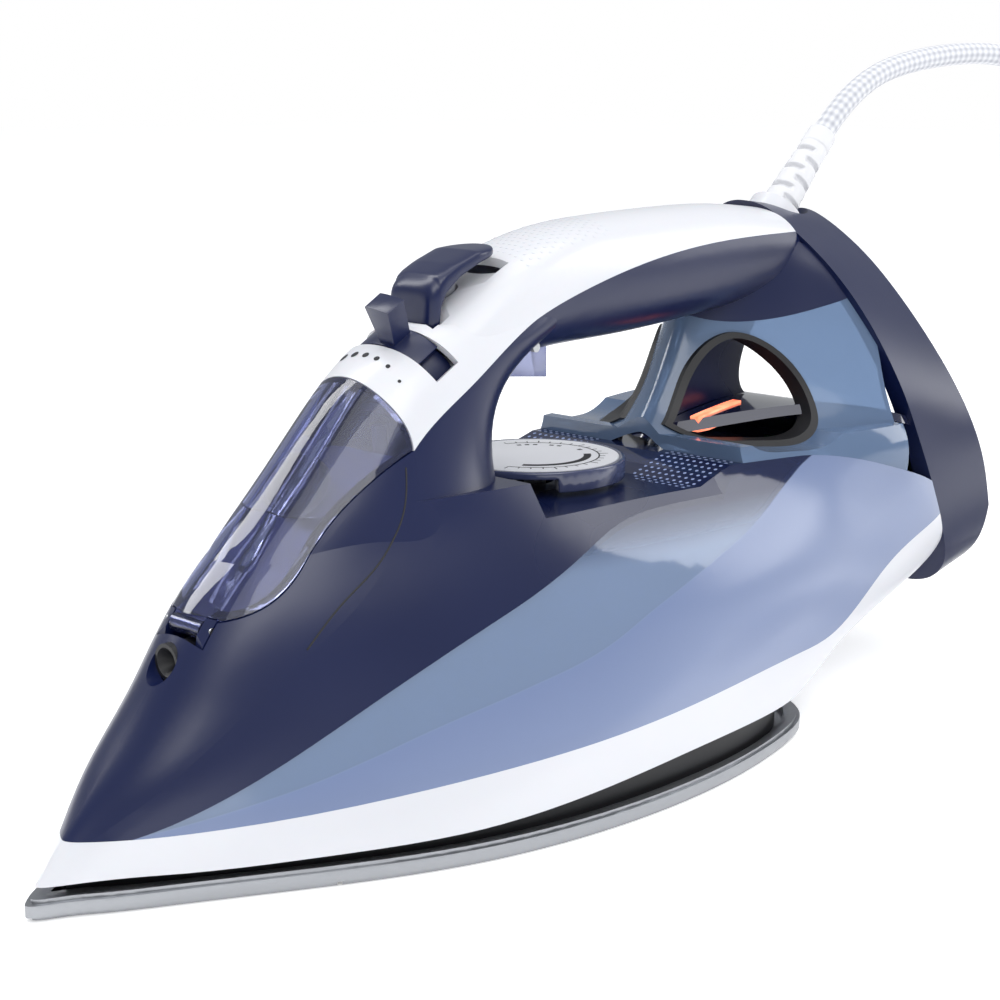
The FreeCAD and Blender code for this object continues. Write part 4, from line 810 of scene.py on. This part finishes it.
class IRON_OT_slider_bed(bpy.types.Operator):
    """Curved floor of the slider's slot, on both sides of its spoke"""
    bl_idname = "iron.slider_bed"
    bl_label = "Slider Bed"

    def execute(self, context):
        # point(a, r, l) = centre + r (up cos a - y sin a) + l along, closed round the section's
        # corners (r, l), which are in millimetres
        for name, low, high in (("slider_bed_left", -66, -30), ("slider_bed_right", 30, 70)):
            rows = 40
            a = np.radians(np.linspace(low, high, rows))
            section = np.array([(14.0, -4.4), (14.0, 4.4), (14.9, 4.4), (14.9, -4.4)]) * MM
            way = (np.cos(a)[:, None] * SLIDER_UP
                   - np.sin(a)[:, None] * np.array([0.0, 1.0, 0.0]))
            points = (SLIDER_CENTRE + section[None, :, 0, None] * way[:, None]
                      + section[None, :, 1, None] * SLIDER_ALONG)
            faces = grid_faces(rows, len(section), cap_ends=True)
            bed = mesh_piece(name, points.reshape(-1, 3), faces, FINISHES["navy"], smooth=False)
            outward(bed)
        return {"FINISHED"}


# ---------------------------------------------------------------- small prints and dots
def skin_of(*names):
    """A search tree over nodes' faces, for laying small marks on them."""
    shell = bmesh.new()
    for name in names:
        shell.from_mesh(NODES[name].data)
    skin = BVHTree.FromBMesh(shell)
    shell.free()
    return skin


def laid_discs(name, skin, spots, material, sides, lift=0.00003):
    """Flat round marks: each (x, y, z, radius) spot is dropped onto the skin, and a disc lies
    there, turned to the normal. A spot that finds no skin under it gives no mark.

    With u and v across the normal n, a disc's point is
    place + n (lift + level) + radius (u cos a + v sin a), on a low and a high level.
    """
    down = Vector((0, 0, -1))
    drops = [(skin.ray_cast(Vector(spot[:3]), down), spot[3]) for spot in spots]
    found = [(hit[0], hit[1] if hit[1].z >= 0 else -hit[1], radius)
             for hit, radius in drops if hit[0] is not None]
    if not found:
        raise RuntimeError("no mark of %s lies on its skin" % name)
    place = np.array([tuple(at) for at, _, _ in found])[:, None, None]
    normal = np.array([tuple(n) for _, n, _ in found])[:, None, None]
    u = np.array([tuple(n.orthogonal().normalized()) for _, n, _ in found])[:, None, None]
    radius = np.array([r for _, _, r in found])[:, None, None, None]
    v = np.cross(normal, u)
    a = np.linspace(0, 2 * np.pi, sides, endpoint=False)[:, None]
    level = np.array([lift, 2 * lift])[:, None, None]
    points = place + normal * level + radius * (u * np.cos(a) + v * np.sin(a))

    low = np.arange(sides)
    walls = np.stack([low, np.roll(low, -1), np.roll(low, -1) + sides, low + sides], axis=-1)
    first = 2 * sides * np.arange(len(found))[:, None]
    faces = (first + low + sides).tolist() + (first + low[::-1]).tolist()
    faces += (first[:, None] + walls).reshape(-1, 4).tolist()
    mesh_piece(name, points.reshape(-1, 3), faces, material, smooth=False)


def spots_at(x_mm, y_mm, height, radius):
    """Rows of (x, y, height, radius) for marks at these millimetres."""
    x, y, radius = np.broadcast_arrays(np.asarray(x_mm) * MM, np.asarray(y_mm) * MM, radius)
    return np.stack([x.ravel(), y.ravel(), np.full(x.size, height), radius.ravel()], axis=1)


class IRON_OT_marks(bpy.types.Operator):
    """Steam marks beside the slider, and dots on the handle and over the filter tray"""
    bl_idname = "iron.marks"
    bl_label = "Marks"

    def execute(self, context):
        size = context.scene.iron_detail
        tip_mm = TIP_X / MM
        white = skin_of("handle_top")
        steam = spots_at(101.5 + tip_mm, -12.5 + 4.0 * np.arange(6), 0.150,
                         (0.45 + 0.16 * np.arange(6)) * MM)
        laid_discs("steam_marks", white, steam, FINISHES["print"], 16)

        # rows of dots along the handle, every other row moved by half a step
        step = 2.1
        row, column = np.meshgrid(np.arange(16), np.arange(-6, 7), indexing="ij")
        grip = spots_at(146.0 + tip_mm + row * step, (column + row % 2 / 2) * step, 0.160,
                        size.grip_dot)
        laid_discs("grip_dots", white, grip, FINISHES["pale"], 8)

        # a square field of dots on each side, cut away round the dial's well
        x, y = np.meshgrid(np.arange(24.0, 62.0, 2.3), np.arange(14.0, 37.0, 2.3))
        keep = np.hypot(x - 3.3, y) > 27.5
        x, y = x[keep], y[keep]
        tray = spots_at(np.append(x, x), np.append(-y, y), 0.0795, size.filter_dot)
        laid_discs("filter_dots", skin_of("water_tank", "handle_body"), tray, FINISHES["mist"],
                   8)
        return {"FINISHED"}


def seam_line(name, skin, stops, radius, material):
    """A fine bead along a skin: the stops in millimetres are joined by straight runs, sampled,
    smoothed and set on the nearest skin point. An oval section is carried along them: a point
    is path + radius (cos a * side + flatness sin a * out)."""
    stops = np.array(stops, float) * MM
    reach = np.append(0, np.cumsum(np.linalg.norm(np.diff(stops, axis=0), axis=1)))
    rows, columns, rounds, flatness = 90, 8, 120, 0.6
    along = np.linspace(0, reach[-1], rows)
    path = np.stack([np.interp(along, reach, stops[:, k]) for k in range(3)], axis=1)
    for _ in range(rounds):
        path[1:-1] = (path[:-2] + 2 * path[1:-1] + path[2:]) / 4
    found = [skin.find_nearest(Vector(place))[:2] for place in path]
    path = np.array([tuple(place) for place, _ in found])
    out = np.array([tuple(normal) for _, normal in found])
    way = np.gradient(path, axis=0)
    way /= np.linalg.norm(way, axis=1)[:, None]
    side = np.cross(way, out)
    side /= np.linalg.norm(side, axis=1)[:, None]
    a = np.linspace(0, 2 * np.pi, columns, endpoint=False)
    section = (np.cos(a)[None, :, None] * side[:, None]
               + flatness * np.sin(a)[None, :, None] * out[:, None])
    points = path[:, None] + radius * section
    faces = grid_faces(rows, columns, cap_ends=True)
    bead = mesh_piece(name, points.reshape(-1, 3), faces, material)
    outward(bead)
    return bead


class IRON_OT_seams(bpy.types.Operator):
    """Parting lines of the nose"""
    bl_idname = "iron.seams"
    bl_label = "Seams"

    def execute(self, context):
        nose = skin_of("nose_shell")
        stops = [(-62.6, 20.0, 90.0), (-62.8, 21.1, 86.2), (-66.2, 23.0, 77.8),
                 (-75.0, 24.1, 68.9), (-87.7, 23.3, 61.2), (-96.5, 22.8, 52.9)]
        for name, side in (("nose_seam_left", 1), ("nose_seam_right", -1)):
            line = seam_line(name, nose, [(x, side * y, z) for x, y, z in stops],
                             context.scene.iron_detail.seam, FINISHES["seal"])
        return {"FINISHED"}


# ---------------------------------------------------------------- finishes of the solid pieces
class IRON_OT_finishes(bpy.types.Operator):
    """Finishes of all carried-over pieces"""
    bl_idname = "iron.finishes"
    bl_label = "Finishes"

    def execute(self, context):
        pairs = {
            "steel": ("soleplate",),
            "cast": ("heater_casting",),
            "plate": ("heating_element", "sole_screws", "steam_chamber_lid", "cover_pin",
                      "trigger_pin", "pump_spring", "thermostat", "thermal_fuse",
                      "heel_screws"),
            "brass": ("plug_pins",),
            "white": ("skirt", "handle_top", "cord_bushing"),
            "navy": ("nose_shell", "handle_body", "heel_cap", "rear_collar", "rear_fin",
                     "spray_button", "steam_slider", "filler_valve"),
            "slate": ("filler_tray",),
            "visor": ("filler_cover",),
            "black": ("heat_shield", "eye_rim_left", "eye_rim_right", "spray_nozzle"),
            "grey": ("slider_bracket", "pump_body", "pump_plunger", "dosing_stem", "dial_shaft",
                     "terminal_block"),
            "face": ("dial_disc",),
            "smoke": ("dial_ring",),
            "tank": ("water_tank",),
            "violet": ("steam_trigger",),
            "neck": ("neck_shell",),
            "floor": ("heel_floor",),
            "board": ("control_board",),
            "rubber": ("strain_relief", "plug_body", "cord_lead", "cord_coil", "cord_tail"),
            "seal": ("spray_hose",),
            "lamp": ("lamp_lens",),
        }
        for finish, names in pairs.items():
            set_material(FINISHES[finish], *names)
        missing = set(NODES) - {name for names in pairs.values() for name in names}
        if missing:
            raise RuntimeError("no finish for %s" % sorted(missing))
        return {"FINISHED"}


# ---------------------------------------------------------------- sidebar and registration
class IRON_PT_panel(bpy.types.Panel):
    """The iron's settings and operators"""
    bl_idname = "IRON_PT_panel"
    bl_label = "Steam Iron"
    bl_space_type = "VIEW_3D"
    bl_region_type = "UI"
    bl_category = "Iron"

    def draw(self, context):
        layout = self.layout
        for group in SETTINGS:
            box = layout.box()
            for name in SETTINGS[group].__annotations__:
                box.prop(getattr(context.scene, group), name)
        for operator in OPERATORS:
            layout.operator(operator.bl_idname)


SETTINGS = {"iron_colours": IronColourSettings, "iron_stage": IronStageSettings,
            "iron_lead": IronLeadSettings, "iron_detail": IronDetailSettings}
OPERATORS = (IRON_OT_materials, IRON_OT_stage, IRON_OT_lead, IRON_OT_strain_relief,
             IRON_OT_dial_scale, IRON_OT_filler_knob, IRON_OT_rounded_pieces,
             IRON_OT_spray_button, IRON_OT_slider_bed, IRON_OT_marks, IRON_OT_seams,
             IRON_OT_finishes)
CLASSES = (*SETTINGS.values(), *OPERATORS, IRON_PT_panel)


def register():
    """Registers the classes and hangs the settings on the scene."""
    for item in CLASSES:
        bpy.utils.register_class(item)
    for group, settings in SETTINGS.items():
        setattr(bpy.types.Scene, group, bpy.props.PointerProperty(type=settings))


def unregister():
    """Takes the settings and the classes away again."""
    for group in reversed(SETTINGS):
        delattr(bpy.types.Scene, group)
    for item in reversed(CLASSES):
        bpy.utils.unregister_class(item)


def main():
    register()
    for operator in OPERATORS:
        getattr(bpy.ops.iron, operator.bl_idname.split(".")[1])()


if __name__ == "__main__":
    main()
